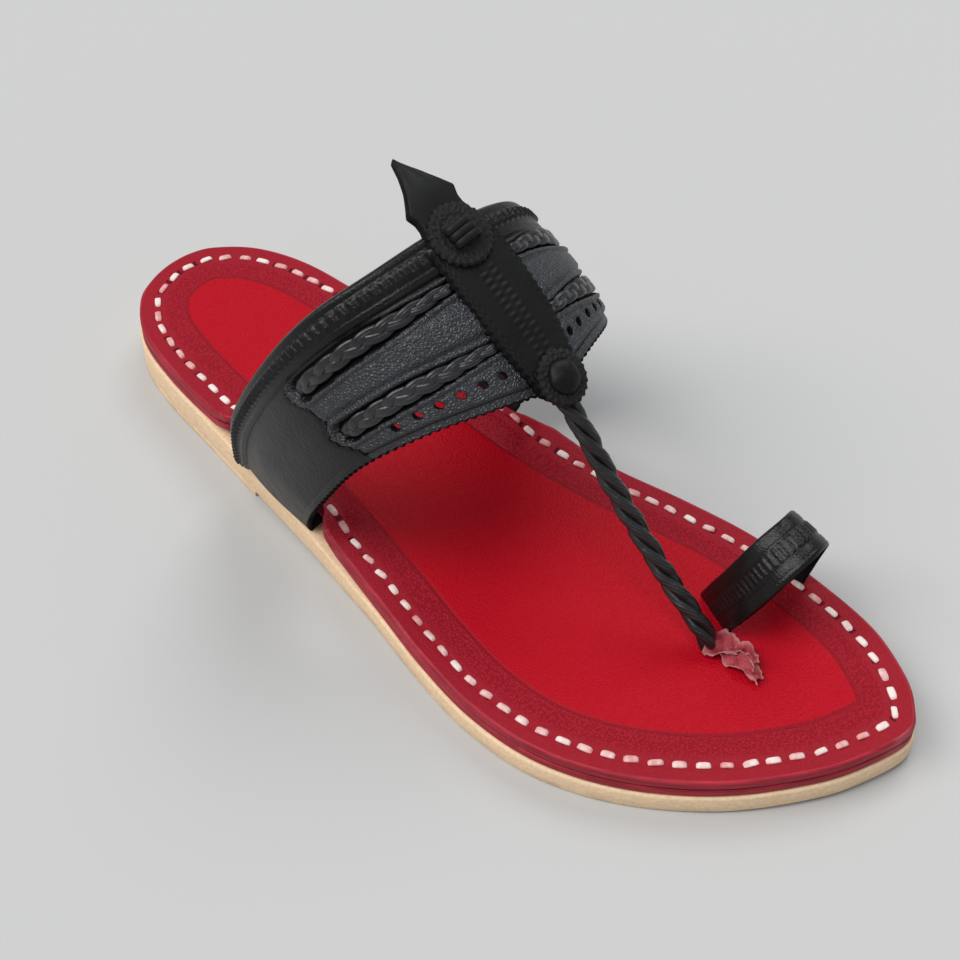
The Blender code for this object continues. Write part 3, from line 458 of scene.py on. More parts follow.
class Builder:
    """Collects points, faces, per-point values and finishes, and makes one object of them."""

    def __init__(self):
        self.points = []
        self.faces = []
        self.finishes = []
        self.values = {}
        self.count = 0

    def add(self, points, **values):
        """Adds a grid of points with their values, and gives the like grid of their indices."""
        shape = points.shape[:-1]
        flat = points.reshape(-1, 3)
        indices = self.count + np.arange(len(flat))
        self.points.append(flat)
        self.count += len(flat)
        for name, value in values.items():
            self.values.setdefault(name, []).append(np.broadcast_to(value, shape).ravel())
        return indices.reshape(shape)

    def face(self, indices, finish=0):
        self.faces.append(np.asarray(indices).tolist())
        self.finishes.append(finish)

    def sheet(self, grid, finish=0, wrap=False, keep=None):
        """Quads over a grid of indices, closed along its second axis by wrap, thinned by keep."""
        if wrap:
            grid = np.concatenate([grid, grid[:, :1]], axis=1)
        quads = np.stack([grid[:-1, :-1], grid[1:, :-1], grid[1:, 1:], grid[:-1, 1:]], axis=-1)
        finish = np.broadcast_to(finish, quads.shape[:2])
        keep = np.ones(quads.shape[:2], bool) if keep is None else keep
        self.faces += quads[keep].tolist()
        self.finishes += finish[keep].tolist()

    def skin(self, outer, inner, finishes=(0, 0, 0), **values):
        """A closed skin from two like grids of points: two faces, then the rim that joins them."""
        upper = self.add(outer, **values)
        lower = self.add(inner, **values)
        self.sheet(upper, finishes[0])
        self.sheet(lower, finishes[1])
        for side in (np.s_[0], np.s_[-1], np.s_[:, 0], np.s_[:, -1]):
            self.sheet(np.stack([upper[side], lower[side]]), finishes[2])

    def tube(self, rings, ends=(0, 0), **values):
        """A closed tube through rings of points, with one face over each end."""
        grid = self.add(rings, **values)
        self.sheet(grid, wrap=True)
        self.face(grid[0], ends[0])
        self.face(grid[-1][::-1], ends[1])

    def mesh(self, name, materials):
        mesh = bpy.data.meshes.new(name)
        mesh.from_pydata(np.vstack(self.points).tolist(), [], self.faces)
        mesh.polygons.foreach_set("material_index", self.finishes)
        for material in materials:
            mesh.materials.append(material)
        for key, values in self.values.items():
            attribute = mesh.attributes.new(key, "FLOAT", "POINT")
            attribute.data.foreach_set("value", np.concatenate(values))
        point_out(mesh)
        mesh.shade_smooth()
        return mesh

    def build(self, name, materials, nodes, smooth_angle=None):
        mesh = self.mesh(name, materials)
        if smooth_angle:
            mesh.set_sharp_from_angle(angle=math.radians(smooth_angle))
        piece = put(name, mesh)
        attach(piece, "root")
        if nodes:
            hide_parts(*nodes)


def edge_distance(place):
    """How far each point of the plan lies inside the outline."""
    gap = np.linalg.norm(place[:, None] - LOOP[None], axis=2)
    return gap.min(axis=1)


def sole_cap(builder, ring, ring_points, height, finish, steps):
    """Fills a sole ring with rungs from side to side, at a height that may vary with the depth inside."""
    half = len(ring) // 2
    left = ring_points[:half]
    right = ring_points[(-np.arange(half)) % len(ring)]
    share = np.linspace(0, 1, steps)[:, None, None]
    inside = (left[None] * (1 - share) + right[None] * share)[1:-1, 1:].reshape(-1, 3)
    depth = edge_distance(inside[:, :2])
    inside[:, 2] = height(inside, depth)
    indices = builder.add(inside, edge=depth, run=0.0).reshape(steps - 2, half - 1)
    rows = np.vstack([ring[1:half], indices, ring[:half:-1][: half - 1]])
    builder.sheet(rows, finish)
    for end, rung in ((ring[0], rows[:, 0]), (ring[half], rows[:, -1])):
        for first, second in zip(rung, rung[1:]):
            builder.face((end, first, second), finish)


CAP_STEPS = 25
BED_STEPS = 90


def sole_piece(name, profile, materials, nodes, curled=True, steps=CAP_STEPS, relief=None):
    """A layer of the sole. Profile rows are inset, rise, finish and base height, underside to top."""
    builder = Builder()
    rings = []
    for inset, rise, _, base in profile:
        points = sole_ring(inset, rise, curled, base)
        rings.append((builder.add(points, edge=inset, run=LOOP_RUN[:-1]), points))
    for (low, _), (high, _), (_, _, finish, _) in zip(rings, rings[1:], profile):
        builder.sheet(np.stack([low, high]), finish, wrap=True)
    bottom = (profile[0], rings[0], CAP_STEPS, None)
    top = (profile[-1], rings[-1], steps, relief)
    for (_, rise, finish, base), ring, cap_steps, worked in (bottom, top):

        def height(points, depth):
            z = base(points[:, 1]) + (worked(depth) if worked else rise)
            return z + (raised(points[:, 0], points[:, 1], depth) if curled else 0)

        sole_cap(builder, *ring, height, finish, cap_steps)
    builder.build(name, materials, nodes)


def quarter(radius, count):
    """Points round a quarter circle, as their distances from the two sides that it joins."""
    angles = [math.pi / 2 * k / (count - 1) for k in range(count)]
    return [(radius * (1 - math.sin(a)), radius * (1 - math.cos(a))) for a in angles]


def rounded(inset, low, high, radius, finish):
    """Profile rows round the lower and upper corners of a layer's edge."""
    below = [(inset + near, low + far, finish, seat) for near, far in quarter(radius, 5)]
    above = [(inset + far, high - near, finish, seat) for near, far in quarter(radius, 5)]
    return below + above


def outsole(looks):
    radius = 0.7 * MM
    flat = 6 * MM
    profile = [(flat, 0.0, 1, under)]
    profile += [(near, far, 0, under) for near, far in quarter(radius, 5)]
    profile += [(far, -near, 0, seat) for near, far in quarter(radius, 4)]
    profile += [(flat, 0.0, 0, seat)]
    materials = [looks["tan_edge"], looks["tan_tread"]]
    sole_piece("outsole_body", profile, materials, ["outsole"], curled=False)


def heel_lift(looks):
    """The thin lift under the heel, ending in a straight breast."""
    rings = []
    radius = 0.35 * MM
    profile = ((0.8, 0.0), (0.4, 0.0), (0.15, 0.15), (0.1, 0.4), (0.1, 1.4), (0.2, 1.7), (0.5, 1.8))
    for inset, z in np.array(profile) * MM:
        ring = LOOP + NORMALS * inset
        back = ring[:, 1] < BREAST_Y - radius
        outer = ring[:RUNGS][back[:RUNGS]]
        inner = ring[RUNGS:][back[RUNGS:]]
        breast = BREAST_Y - inset * 0.5
        corners = [[edge_x(breast, "outer") - inset, breast], [edge_x(breast, "inner") + inset, breast]]
        loop = np.vstack([outer, corners, inner])
        rings.append(np.column_stack([loop, np.full(len(loop), min(z, LIFT))]))
    builder = Builder()
    builder.tube(np.stack(rings), (1, 0))
    materials = [looks["tan_edge"], looks["tan_tread"]]
    builder.build("heel_lift", materials, ["heel_piece"], smooth_angle=50)


FLAT_INSET = 3 * MM


def midsole(looks):
    low = GAP
    high = GAP + MIDSOLE_THICKNESS
    profile = [(STITCH_INSET, low, 0, seat), (FLAT_INSET, low, 0, seat)]
    profile += rounded(LAYER_INSET, low, high, 0.5 * MM, 0)
    profile += [(FLAT_INSET, high, 0, seat), (STITCH_INSET, high, 0, seat)]
    sole_piece("midsole_body", profile, [looks["red_edge"]], ["midsole"])


INSOLE_LOW = 2 * GAP + MIDSOLE_THICKNESS
INSOLE_TOP = INSOLE_LOW + INSOLE_THICKNESS
BORDER_INNER = 14.3 * MM
BORDER_OUTER = 8.2 * MM


def insole_relief(inset):
    """The footbed's pressed lines: the stitch groove and the two edges of the stamped border."""
    groove = -0.28 * MM * ridge(inset, STITCH_INSET, 1.5 * MM)
    line = -0.10 * MM * ridge(inset, BORDER_OUTER, 0.8 * MM)
    return groove + line + 0.16 * MM * ease(inset, BORDER_INNER - 2 * MM, BORDER_INNER + 1.5 * MM)


def insole(looks):
    low, high = INSOLE_LOW, INSOLE_TOP
    profile = [(STITCH_INSET, low, 1, seat), (FLAT_INSET, low, 1, seat)]
    profile += rounded(LAYER_INSET, low, high, 0.9 * MM, 1)[:-1]
    for inset in np.arange(1.5, 8.1, 0.5) * MM:
        profile.append((inset, high + insole_relief(inset), 0, seat))

    def relief(depth):
        return high + insole_relief(depth)

    materials = [looks["red_bed"], looks["red_edge"]]
    sole_piece(
        "insole_body", profile, materials, ["insole"], steps=BED_STEPS, relief=relief
    )


def stitch_places():
    """Centres and directions of the thong stitches, and the outline's run beside each of them."""
    ring = sole_ring(STITCH_INSET, INSOLE_TOP)
    closed = np.vstack([ring, ring[:1]])
    run = run_along(closed)
    count = round(run[-1] / STITCH_PITCH)
    centres = (np.arange(count) + 0.5) * run[-1] / count
    point, ahead = (
        np.stack([np.interp(at, run, closed[:, k]) for k in range(3)], axis=1)
        for at in (centres, centres + MM)
    )
    return point, unit(ahead - point), np.interp(centres, run, LOOP_RUN)


def stitches(looks):
    """White thong stitches: flat pillows whose ends dip into their holes."""
    builder = Builder()
    rng = np.random.default_rng(11)
    point, ahead, _ = stitch_places()
    u = np.linspace(-1, 1, 11)[:, None]
    v = np.linspace(-1, 1, 7)[None, :]
    taper = np.sqrt(np.clip(1 - (np.abs(u) ** 3.2) * 0.85, 0, 1))
    crown = (1 - np.abs(u) ** 3) * (1 - 0.55 * v**2)
    dip = ease(np.abs(u), 0.72, 1.0) * 0.9
    for centre, along in zip(point, ahead):
        length = rng.uniform(*STITCH_HALF_LENGTHS)
        half = rng.uniform(*STITCH_HALF_WIDTHS)
        yaw = rng.normal(0, 0.10)
        wear = rng.uniform(0.25, 0.75)
        centre = centre + along * rng.normal(0, 0.12) * MM
        across = unit(np.cross(UPWARDS, along))
        along = along * math.cos(yaw) + across * math.sin(yaw)
        across = unit(np.cross(UPWARDS, along))
        height = 0.46 * crown - dip + 0.05 * np.sin(9 * v + centre[1] * 900) * (1 - u**2)
        top = (
            centre
            + along * (u * length)[..., None]
            + across * (v * half * taper)[..., None]
            + UPWARDS * (height * MM)[..., None]
        )
        low = top.copy()
        low[..., 2] = np.minimum(top[..., 2] - 0.25 * MM, centre[2] - 0.35 * MM)
        builder.skin(top, low, wear=wear)
    builder.build("thong_stitches", [looks["white_thong"]], [])


# Band

TEETH = 92
COLUMNS = 4 * TEETH
ROWS = 88
SMOOTH, BORDER, GRAINED, CUT_AND_SHADE, LINING = range(5)
BAND_LOOKS = ["black_smooth", "black_border", "black_grained", "black_cut", "black_lining"]


def root_corner(is_outer, front):
    rear_y, front_y = root_span(is_outer)
    y = front_y if front else rear_y
    x = edge_x(y, "outer") - ROOT_MARGIN if is_outer else edge_x(y, "inner") + ROOT_MARGIN
    return np.array([x, y, seat(y) + GAP])


def half_edge(is_outer, front):
    """Points of the band's rear or front edge from a root up to the last fold before the crest."""
    root = root_corner(is_outer, front)
    crest = np.array(FRONT_CREST if front else REAR_CREST)
    reach = (FRONT_REACH if front else REAR_REACH) * (1 if is_outer else -1)
    folds = OUTER_FOLDS if is_outer else INNER_FOLDS
    word = "front" if front else "rear"
    out, on, up = (column(folds, f"{part}_{word}") for part in ("out", "on", "up"))
    x = crest[0] + reach * out
    y = root[1] + (crest[1] - root[1]) * on
    z = root[2] + (crest[2] - root[2]) * up
    return np.vstack([root, np.stack([x, y, z], axis=1)])


def band_edge(front):
    crest = np.array(FRONT_CREST if front else REAR_CREST)
    return np.vstack([half_edge(True, front), crest, half_edge(False, front)[::-1]])


REAR_EDGE = band_edge(False)
FRONT_EDGE = band_edge(True)
LAST_PLACE = len(REAR_EDGE) - 1
CREST_PLACE = LAST_PLACE / 2


def band_run():
    """Places along the band against their length from the crest, negative on the inner side."""
    places = np.linspace(0, LAST_PLACE, 2401)
    run = run_along((smooth(REAR_EDGE, places) + smooth(FRONT_EDGE, places)) / 2)
    return places, np.interp(CREST_PLACE, places, run) - run


RUN_PLACES, RUN_LENGTHS = band_run()
OUTER_RUN = RUN_LENGTHS[0]
INNER_RUN = -RUN_LENGTHS[-1]
RIB_PITCH = (OUTER_RUN + INNER_RUN) / TEETH


def place_at(run):
    return np.interp(-np.asarray(run, float), -RUN_LENGTHS, RUN_PLACES)


def share_at(run):
    """0 at a root and 1 at the crest."""
    run = np.asarray(run, float)
    return np.where(run > 0, 1 - run / OUTER_RUN, 1 + run / INNER_RUN)


def run_at(share, is_outer):
    return (1 - share) * OUTER_RUN if is_outer else -(1 - share) * INNER_RUN


def band_frame(run, row):
    """Points of the band's plain outer face and its outward normals."""
    run, row = np.broadcast_arrays(np.asarray(run, float), np.asarray(row, float))
    shape = run.shape
    run, row = run.ravel(), row.ravel()
    place = place_at(run)

    def base(at):
        rear = smooth(REAR_EDGE, at)
        return rear, smooth(FRONT_EDGE, at) - rear

    rear, forward = base(place)
    low, low_forward = base(np.clip(place - 0.02, 0, LAST_PLACE))
    high, high_forward = base(np.clip(place + 0.02, 0, LAST_PLACE))
    point = rear + forward * row[:, None]
    tangent = (high + high_forward * row[:, None]) - (low + low_forward * row[:, None])
    normal = -unit(np.cross(tangent, forward))
    near_root = np.minimum(np.minimum(place, LAST_PLACE - place), 1.0)
    point = point + normal * (DOME * 4 * row * (1 - row) * near_root)[:, None]
    return point.reshape(*shape, 3), normal.reshape(*shape, 3)


def band_width(run):
    place = place_at(run)
    return np.linalg.norm(smooth(FRONT_EDGE, place) - smooth(REAR_EDGE, place), axis=-1)


def slot_share(share):
    """0 where a slot starts and 1 where it ends near the crest."""
    return (share - SLOT_START) / (SLOT_END - SLOT_START)


def slot_row(slot, share):
    t = np.clip(slot_share(share), 0, 1)
    return slot.row_low * (1 - t) + slot.row_high * t


def slot_distance(slot, run, row, width):
    """Distance outside the slot's outline, round below and narrow at the crest; negative inside it."""
    share = share_at(run)
    side = np.where(run > 0, OUTER_RUN, INNER_RUN)
    end = (SLOT_START - share) * side + slot.half * 0.9
    across = (row - slot_row(slot, share)) * width
    half = slot.half * (1 - 0.5 * ease(slot_share(share), 0.45, 1.0))
    return np.hypot(np.maximum(end, 0), across) - half


def overlay_start(row):
    """The share where the overlay begins: lobes round the slots' ends, with fine scallops."""
    start = OVERLAY_START + 0.030
    for slot in SLOTS:
        start = start - 0.032 * np.exp(-(((row - slot.row_low) / 0.10) ** 2))
    return start + 0.0045 * np.abs(np.sin(row * 44))


def punch_centres():
    """The punched holes' runs and rows, on both sides of the crest."""
    shares = np.array(PUNCHES)
    rows = np.interp(shares, [PUNCHES[0], PUNCHES[-1]], PUNCH_ROWS)
    return [
        (run_at(share, is_outer), row) for is_outer in (True, False) for share, row in zip(shares, rows)
    ]


def ribs(run, pitch):
    """Rounded cross ribs."""
    return np.clip(np.sin(TURN * run / pitch) + 0.35, 0, 1.35) ** 0.6 / 1.2


def band_relief(run, row, width):
    """Height of the band's worked outer face above its base leather, and which finish it has."""
    share = share_at(run)
    finish = np.zeros(run.shape, int)
    border = 1 - ease(row, BORDER_ROW - 0.006, BORDER_ROW + 0.004)
    height = BORDER_RISE * border * ease(row, -0.004, 0.016) ** 0.5
    for line in PRESSED_LINES:
        height -= line.depth * ridge(row, line.row, line.half)
    height += RIB_RISE * ribs(OUTER_RUN - run, RIB_PITCH) * window(row, 0.068, 0.136, 0.008)
    finish[row < BORDER_ROW] = BORDER
    start = overlay_start(row)
    overlay = ease(share, start, start + 0.004) * ease(row, BORDER_ROW + 0.016, BORDER_ROW + 0.028)
    overlay *= 1 - ease(row, SEAM_ROW - 0.012, SEAM_ROW)
    height += OVERLAY_RISE * overlay
    height -= 0.30 * MM * ridge(share, start - 0.006, 0.008) * window(row, 0.23, 0.92, 0.01)
    finish[overlay > 0.5] = GRAINED
    finish[(np.abs(share - start) < 0.008) & (row > BORDER_ROW + 0.02) & (row < SEAM_ROW)] = CUT_AND_SHADE
    for slot in SLOTS:
        gap = slot_distance(slot, run, row, width)
        inside = 1 - ease(gap, -0.35 * MM, 0.15 * MM)
        height -= SLOT_SINK * inside * overlay
        height += 0.45 * MM * ridge(gap, 0.80 * MM, 0.70 * MM) * overlay
        height -= 0.24 * MM * ridge(gap, 1.80 * MM, 0.35 * MM) * overlay
        # Slot floors take the darkest matt cut finish as painted shade in the gap round the plait.
        finish[gap < 0] = CUT_AND_SHADE
    height += PANEL_RISE * window(row, 0.42, 0.55, 0.05) * overlay
    for centre_run, centre_row in punch_centres():
        reach = np.hypot(run - centre_run, (row - centre_row) * width)
        height += 0.22 * MM * ridge(reach, PUNCH_RADIUS + 0.5 * MM, 0.5 * MM)
    finish[row > SEAM_ROW] = np.where(share > start, GRAINED, SMOOTH)[row > SEAM_ROW]
    finish[row > 0.985] = CUT_AND_SHADE
    height += 0.10 * MM * np.sin(run / (9 * MM) + 3 * row) * (1 - border)
    return height, finish


def snap_punches(run, row, width):
    """Moves grid points near each punched hole's rim onto it, and says which lie inside."""
    inside = np.zeros(run.shape, bool)
    for centre_run, centre_row in punch_centres():
        across = (row - centre_row) * width
        reach = np.hypot(run - centre_run, across)
        near = np.abs(reach - PUNCH_RADIUS) < 0.40 * MM
        scale = np.where(near, PUNCH_RADIUS / np.maximum(reach, 1e-9), 1.0)
        run = centre_run + (run - centre_run) * scale
        row = centre_row + across * scale / width
        reach = np.hypot(run - centre_run, (row - centre_row) * width)
        inside |= reach < PUNCH_RADIUS * 1.001
    return run, row, inside


def band_grid():
    run = np.linspace(OUTER_RUN, -INNER_RUN, COLUMNS + 1)[:, None]
    fine = np.concatenate([np.linspace(0, 0.03, 5)[:-1], np.linspace(0.03, 1, ROWS)])[None, :]
    run, row = np.broadcast_arrays(run, fine)
    return run.copy(), row.copy()


def with_ears(grid, lift):
    """Seats both ends of a grid and adds two columns there for the ears between the sole's layers."""
    for end in (0, -1):
        grid[end, :, 2] = seat(grid[end, :, 1]) + GAP + lift
    ends = []
    for end, inward in ((0, -1.0), (-1, 1.0)):
        ear = []
        for share in (1.0, 0.5):
            line = grid[end].copy()
            line[:, 0] += inward * EAR_LENGTH * share
            ear.append(line)
        ends.append(ear if end == 0 else ear[::-1])
    return np.concatenate([ends[0], grid, ends[1]])


def band(looks):
    """The arched band as one closed skin: worked outside, plain inside, punched holes, pinked front edge."""
    run, row = band_grid()
    width = band_width(run[:, 0])[:, None]
    run, row, inside = snap_punches(run, row, width)
    height, finish = band_relief(run, row, width)
    tooth = np.abs((np.arange(COLUMNS + 1) % 4) - 2) / 2 - 0.5
    away = np.minimum(OUTER_RUN - run[:, 0], run[:, 0] + INNER_RUN)
    tooth = tooth * ease(away, 4 * MM, 8 * MM)
    shifted = row + (tooth[:, None] * TOOTH_DEPTH / width) * ease(row, 0.975, 1.0)
    base, normal = band_frame(run, shifted)
    rim = ease(1 - row, 0, 0.012) ** 0.5 * ease(row, -0.002, 0.02) ** 0.5
    sunk = (1 - rim) * EDGE_ROUND
    outer = with_ears(base + normal * (height - sunk)[..., None], 0.0)
    inner = with_ears(base - normal * (LEATHER - sunk)[..., None], LEATHER)
    inside, finish = (np.pad(values, ((2, 2), (0, 0)), mode="edge") for values in (inside, finish))
    builder = Builder()
    top = builder.add(outer)
    low = builder.add(inner)
    hole = inside[:-1, :-1] & inside[1:, :-1] & inside[1:, 1:] & inside[:-1, 1:]
    builder.sheet(top, finish[:-1, :-1], keep=~hole)
    builder.sheet(low, LINING, keep=~hole)
    hole_walls(builder, top, low, hole)
    sides = ((np.s_[:, 0], BORDER), (np.s_[:, -1], CUT_AND_SHADE), (np.s_[0], LINING), (np.s_[-1], LINING))
    for side, edge_finish in sides:
        builder.sheet(np.stack([top[side], low[side]]), edge_finish)
    materials = [looks[name] for name in BAND_LOOKS]
    builder.build("band_body", materials, ["upper"])


def hole_walls(builder, top, low, hole):
    """Walls between the outside and the inside round each punched hole."""
    for i, j in np.argwhere(hole):
        for di, dj, first, second in (
            (-1, 0, (i, j + 1), (i, j)),
            (1, 0, (i + 1, j), (i + 1, j + 1)),
            (0, -1, (i, j), (i + 1, j)),
            (0, 1, (i + 1, j + 1), (i, j + 1)),
        ):
            if not hole[i + di, j + dj]:
                builder.face((top[second], top[first], low[first], low[second]), CUT_AND_SHADE)


# Leaf


def spine():
    """Points along the leaf's middle line, from its standing rear tip to its front end."""
    rear = np.array(REAR_CREST)
    lean = unit(np.array(FRONT_CREST) - rear)
    front = np.array(FRONT_CREST) + lean * LEAF_OVERHANG
    rise = np.array([0.0, -lean[2], lean[1]]) * DOME
    between = [rear + (front - rear) * share + rise for share in (0.33, 0.67)]
    return np.array([rear + LEAF_TIP, rear + LEAF_NECK, rear, *between, front])


SPINE = spine()
SPINE_PLACES = even(SPINE, 400)


def leaf_frame(share):
    """Points of the leaf's middle line and its upward normals."""
    share = np.asarray(share, float)
    place = np.interp(share, np.linspace(0, 1, len(SPINE_PLACES)), SPINE_PLACES)
    last = len(SPINE) - 1
    flat = place.ravel()
    centre = smooth(SPINE, flat)
    ahead = smooth(SPINE, np.minimum(flat + 0.05, last)) - smooth(SPINE, np.maximum(flat - 0.05, 0))
    normal = unit(np.stack([np.zeros(len(flat)), -ahead[:, 2], ahead[:, 1]], axis=1))
    return centre.reshape(*share.shape, 3), normal.reshape(*share.shape, 3)


def leaf_relief(share, across, half):
    """The leaf's worked face: a pressed line inside the edge and two rows of stamped beads."""
    inset = half - np.abs(across)
    along = share * LEAF_LENGTH
    body = window(share, 0.34, 0.93, 0.02)
    height = -0.22 * MM * ridge(inset, 1.6 * MM, 0.35 * MM) * body
    height -= 0.45 * MM * (1 - ease(inset, 0, 0.7 * MM))
    for side in (-1, 1):
        near = (across - side * 1.5 * MM) / (1.15 * MM)
        bead = np.cos(TURN * along / BEAD_PITCH + side * 1.5) * 0.5 + 0.5
        height += BEAD_RISE * np.clip(1 - near**2, 0, 1) * (bead - 0.45) * window(share, 0.50, 0.85, 0.015)
        height -= 0.12 * MM * ridge(across, side * 3.3 * MM, 0.35 * MM) * window(share, 0.49, 0.86, 0.01)
    height += 0.35 * MM * ridge(across, 0, half * 0.6 + 1e-6) * (1 - ease(share, 0.16, 0.30))
    return height


def leaf(looks):
    steps = 300
    share = np.linspace(0, 1, steps + 1)
    half = np.interp(share, column(LEAF_CUTS, "along"), column(LEAF_CUTS, "width")) * LEAF_HALF_WIDTH
    for _ in range(3):
        half[1:-1] = (half[:-2] + 2 * half[1:-1] + half[2:]) / 4
    phase = share * LEAF_LENGTH / TOOTH_PITCH
    tooth = np.abs((phase % 1) * 2 - 1) - 0.5
    half = half + tooth * TOOTH_DEPTH * window(share, LEAF_PINKED_FROM, 0.97, 0.01)
    lateral = np.sin(np.linspace(-1, 1, 45) * math.pi / 2 * 0.92) / math.sin(math.pi / 2 * 0.92)
    across = half[:, None] * lateral[None, :]
    share = np.broadcast_to(share[:, None], across.shape)
    centre, normal = leaf_frame(share)
    drop = across**2 / (2 * CREST_RADIUS)
    relief = leaf_relief(share, across, half[:, None])
    middle = centre + SIDEWAYS * across[..., None]
    top = middle + normal * (LEAF_THICKNESS + relief - drop)[..., None]
    low = middle + normal * (0.15 * MM - drop)[..., None]
    at_edge = np.abs(lateral[:-1] + lateral[1:]) / 2 > 0.93
    builder = Builder()
    builder.skin(top, low, (np.where(at_edge, 1, 0), 1, 1))
    builder.build("leaf_spine", [looks["black_leaf"], looks["black_cut"]], [])


# Ribbons, ropes and plaits


def swept(builder, path, out, half_width, half_thick, round_power=0.75):
    """A soft flat strip along a path: out is its face's normal at each point."""
    ahead = unit(np.gradient(path, axis=0))
    out = unit(out - ahead * (out * ahead).sum(axis=1, keepdims=True))
    side = np.cross(ahead, out)
    angle = TURN * np.arange(12) / 12
    c = np.sign(np.cos(angle)) * np.abs(np.cos(angle)) ** round_power
    s = np.sign(np.sin(angle)) * np.abs(np.sin(angle)) ** round_power
    wide = np.broadcast_to(half_width, len(path))[:, None, None]
    thick = np.broadcast_to(half_thick, len(path))[:, None, None]
    rings = path[:, None] + side[:, None] * c[None, :, None] * wide + out[:, None] * s[None, :, None] * thick
    builder.tube(rings, row=c)


def plait(name, slot, is_outer, looks):
    """A flat plait of three leather strips, lying in its slot and tucked in at both ends."""
    builder = Builder()
    low, high = run_at(SLOT_START + 0.012, is_outer), run_at(SLOT_END + 0.01, is_outer)
    count = 150
    run = np.linspace(low, high, count)
    length = abs(high - low)
    along = np.linspace(0, length, count)
    row = slot_row(slot, share_at(run))
    point, normal = band_frame(run, row)
    place = place_at(run)
    across = unit(smooth(FRONT_EDGE, place) - smooth(REAR_EDGE, place))
    ends = np.minimum(along, length - along)
    tuck = ease(ends, 0, 4 * MM)
    narrow = (0.55 + 0.45 * tuck) * (1 - 0.40 * ease(along / length, 0.50, 1.0))
    for strand in range(3):
        phase = TURN * (along / PLAIT_PITCH + strand / 3)
        swing = PLAIT_SWING * np.sin(phase) * narrow
        weave = PLAIT_RISE * np.sin(2 * phase)
        path = point + across * swing[:, None]
        path += normal * (0.05 * MM + (weave + 0.70 * MM) * tuck)[:, None]
        swept(builder, path, normal, PLAIT_STRIP[0] * narrow, PLAIT_STRIP[1])
    builder.build(f"plait_{name}", [looks["black_braid"]], [f"braid_{name}"])


def plaits(looks):
    for number, slot in enumerate(SLOTS, 1):
        plait(f"outer_{number}", slot, True, looks)
        plait(f"inner_{number}", slot, False, looks)


def rope_path():
    """Points of the rope's middle line, from under the front disc to its foot on the insole."""
    top, normal = leaf_frame(np.array(FRONT_DISC_SHARE))
    foot = np.array([*ROPE_FOOT, bed(ROPE_FOOT[1]) + GAP])
    neck = SPINE[-1] + ROPE_NECK
    return np.array(
        [
            top - normal * (ROPE_RADIUS * 0.75),
            neck,
            neck + (foot - neck) * 0.33 + np.array([0, -0.6, -0.6]) * MM,
            neck + (foot - neck) * 0.68,
            foot + np.array([0, -2.2, 6.0]) * MM,
            foot,
        ]
    )


def rope(looks):
    """Three leather strips laid up into a round rope, pinched where it enters the sole."""
    control = rope_path()
    axis = smooth(control, even(control, 260))
    ahead = unit(np.gradient(axis, axis=0))
    first = unit(np.cross(ahead, SIDEWAYS))
    second = unit(np.cross(first, ahead))
    run = run_along(axis)
    builder = Builder()
    tight = 0.72 + 0.28 * ease(np.minimum(run, run[-1] - run), 0, 5 * MM)
    for strand in range(3):
        theta = TURN * (run / ROPE_PITCH + strand / 3)
        radial = first * np.cos(theta)[:, None] + second * np.sin(theta)[:, None]
        reach = ROPE_LAY * tight * (1 + 0.06 * np.sin(TURN * run / (5.5 * MM) + strand))
        path = axis + radial * reach[:, None]
        path[:, 2] = np.maximum(path[:, 2], bed(path[:, 1]) + 1.2 * MM)
        swept(builder, path, radial, ROPE_STRIP[0] * tight, ROPE_STRIP[1] * tight, round_power=0.9)
    builder.build("rope_strap", [looks["black_rope"]], [])


def ring_profile():
    """Places across the toe ring's width and the heights of its worked outer face there."""
    across = np.linspace(-1, 1, 41)
    height = -0.55 * MM * np.abs(across) ** 14
    for side in (-1, 1):
        height -= 0.16 * MM * ridge(across, side * 0.40, 0.06)
        height -= 0.10 * MM * ridge(across, side * 0.78, 0.06)
    return across, height


def toe_ring(looks):
    """The strap over the great toe, with ribs stamped between two pressed lines."""
    cuts = {name: column(RING_CUTS, name) for name in RingCut._fields}
    x = RING_ROOT[0] + RING_SPAN * (cuts["span"] + 0.5)
    y = RING_ROOT[1] + RING_AHEAD * cuts["ahead"]
    z = bed(y) + GAP + RING_HEIGHT * cuts["up"]
    control = np.stack([x, y, z], axis=1)
    sizes = np.stack([cuts["width"] * RING_WIDTH, cuts["turn"], cuts["yaw"]], axis=1)
    places = even(control, 240)
    centre = smooth(control, places)
    wide, turn, yaw = smooth(sizes, places).T
    ahead = unit(np.gradient(centre, axis=0))
    width = np.stack([np.cos(turn) * np.sin(yaw), np.cos(turn) * np.cos(yaw), -np.sin(turn)], axis=1)
    out = unit(np.cross(ahead, width))[:, None]
    across, profile = ring_profile()
    middle = window(np.abs(across), -1, 0.26, 0.06)
    rib = ribs(run_along(centre), RING_RIB_PITCH)[:, None] * middle[None, :] * RING_RIB_RISE
    face = centre[:, None] + width[:, None] * (across[None, :] * wide[:, None] / 2)[..., None]
    outer = face + out * (RING_LEATHER / 2 + profile[None, :] + rib)[..., None]
    inner = face - out * (RING_LEATHER / 2 - 0.3 * MM * np.abs(across) ** 14)[None, :, None]
    for grid in (outer, inner):
        for end in (0, -1):
            grid[end, :, 2] = bed(grid[end, :, 1]) + 0.1 * MM
    builder = Builder()
    builder.skin(outer, inner, (0, 1, 1))
    materials = [looks["black_border"], looks["black_cut"]]
    builder.build("toe_ring_strap", materials, ["toe_ring"])


# Ornaments


def disc_frame(disc):
    """The centre of a disc on the leaf, the leaf's normal there and the way along the leaf."""
    centre, normal = leaf_frame(np.array(disc.share))
    return centre, normal, unit(np.cross(normal, SIDEWAYS))


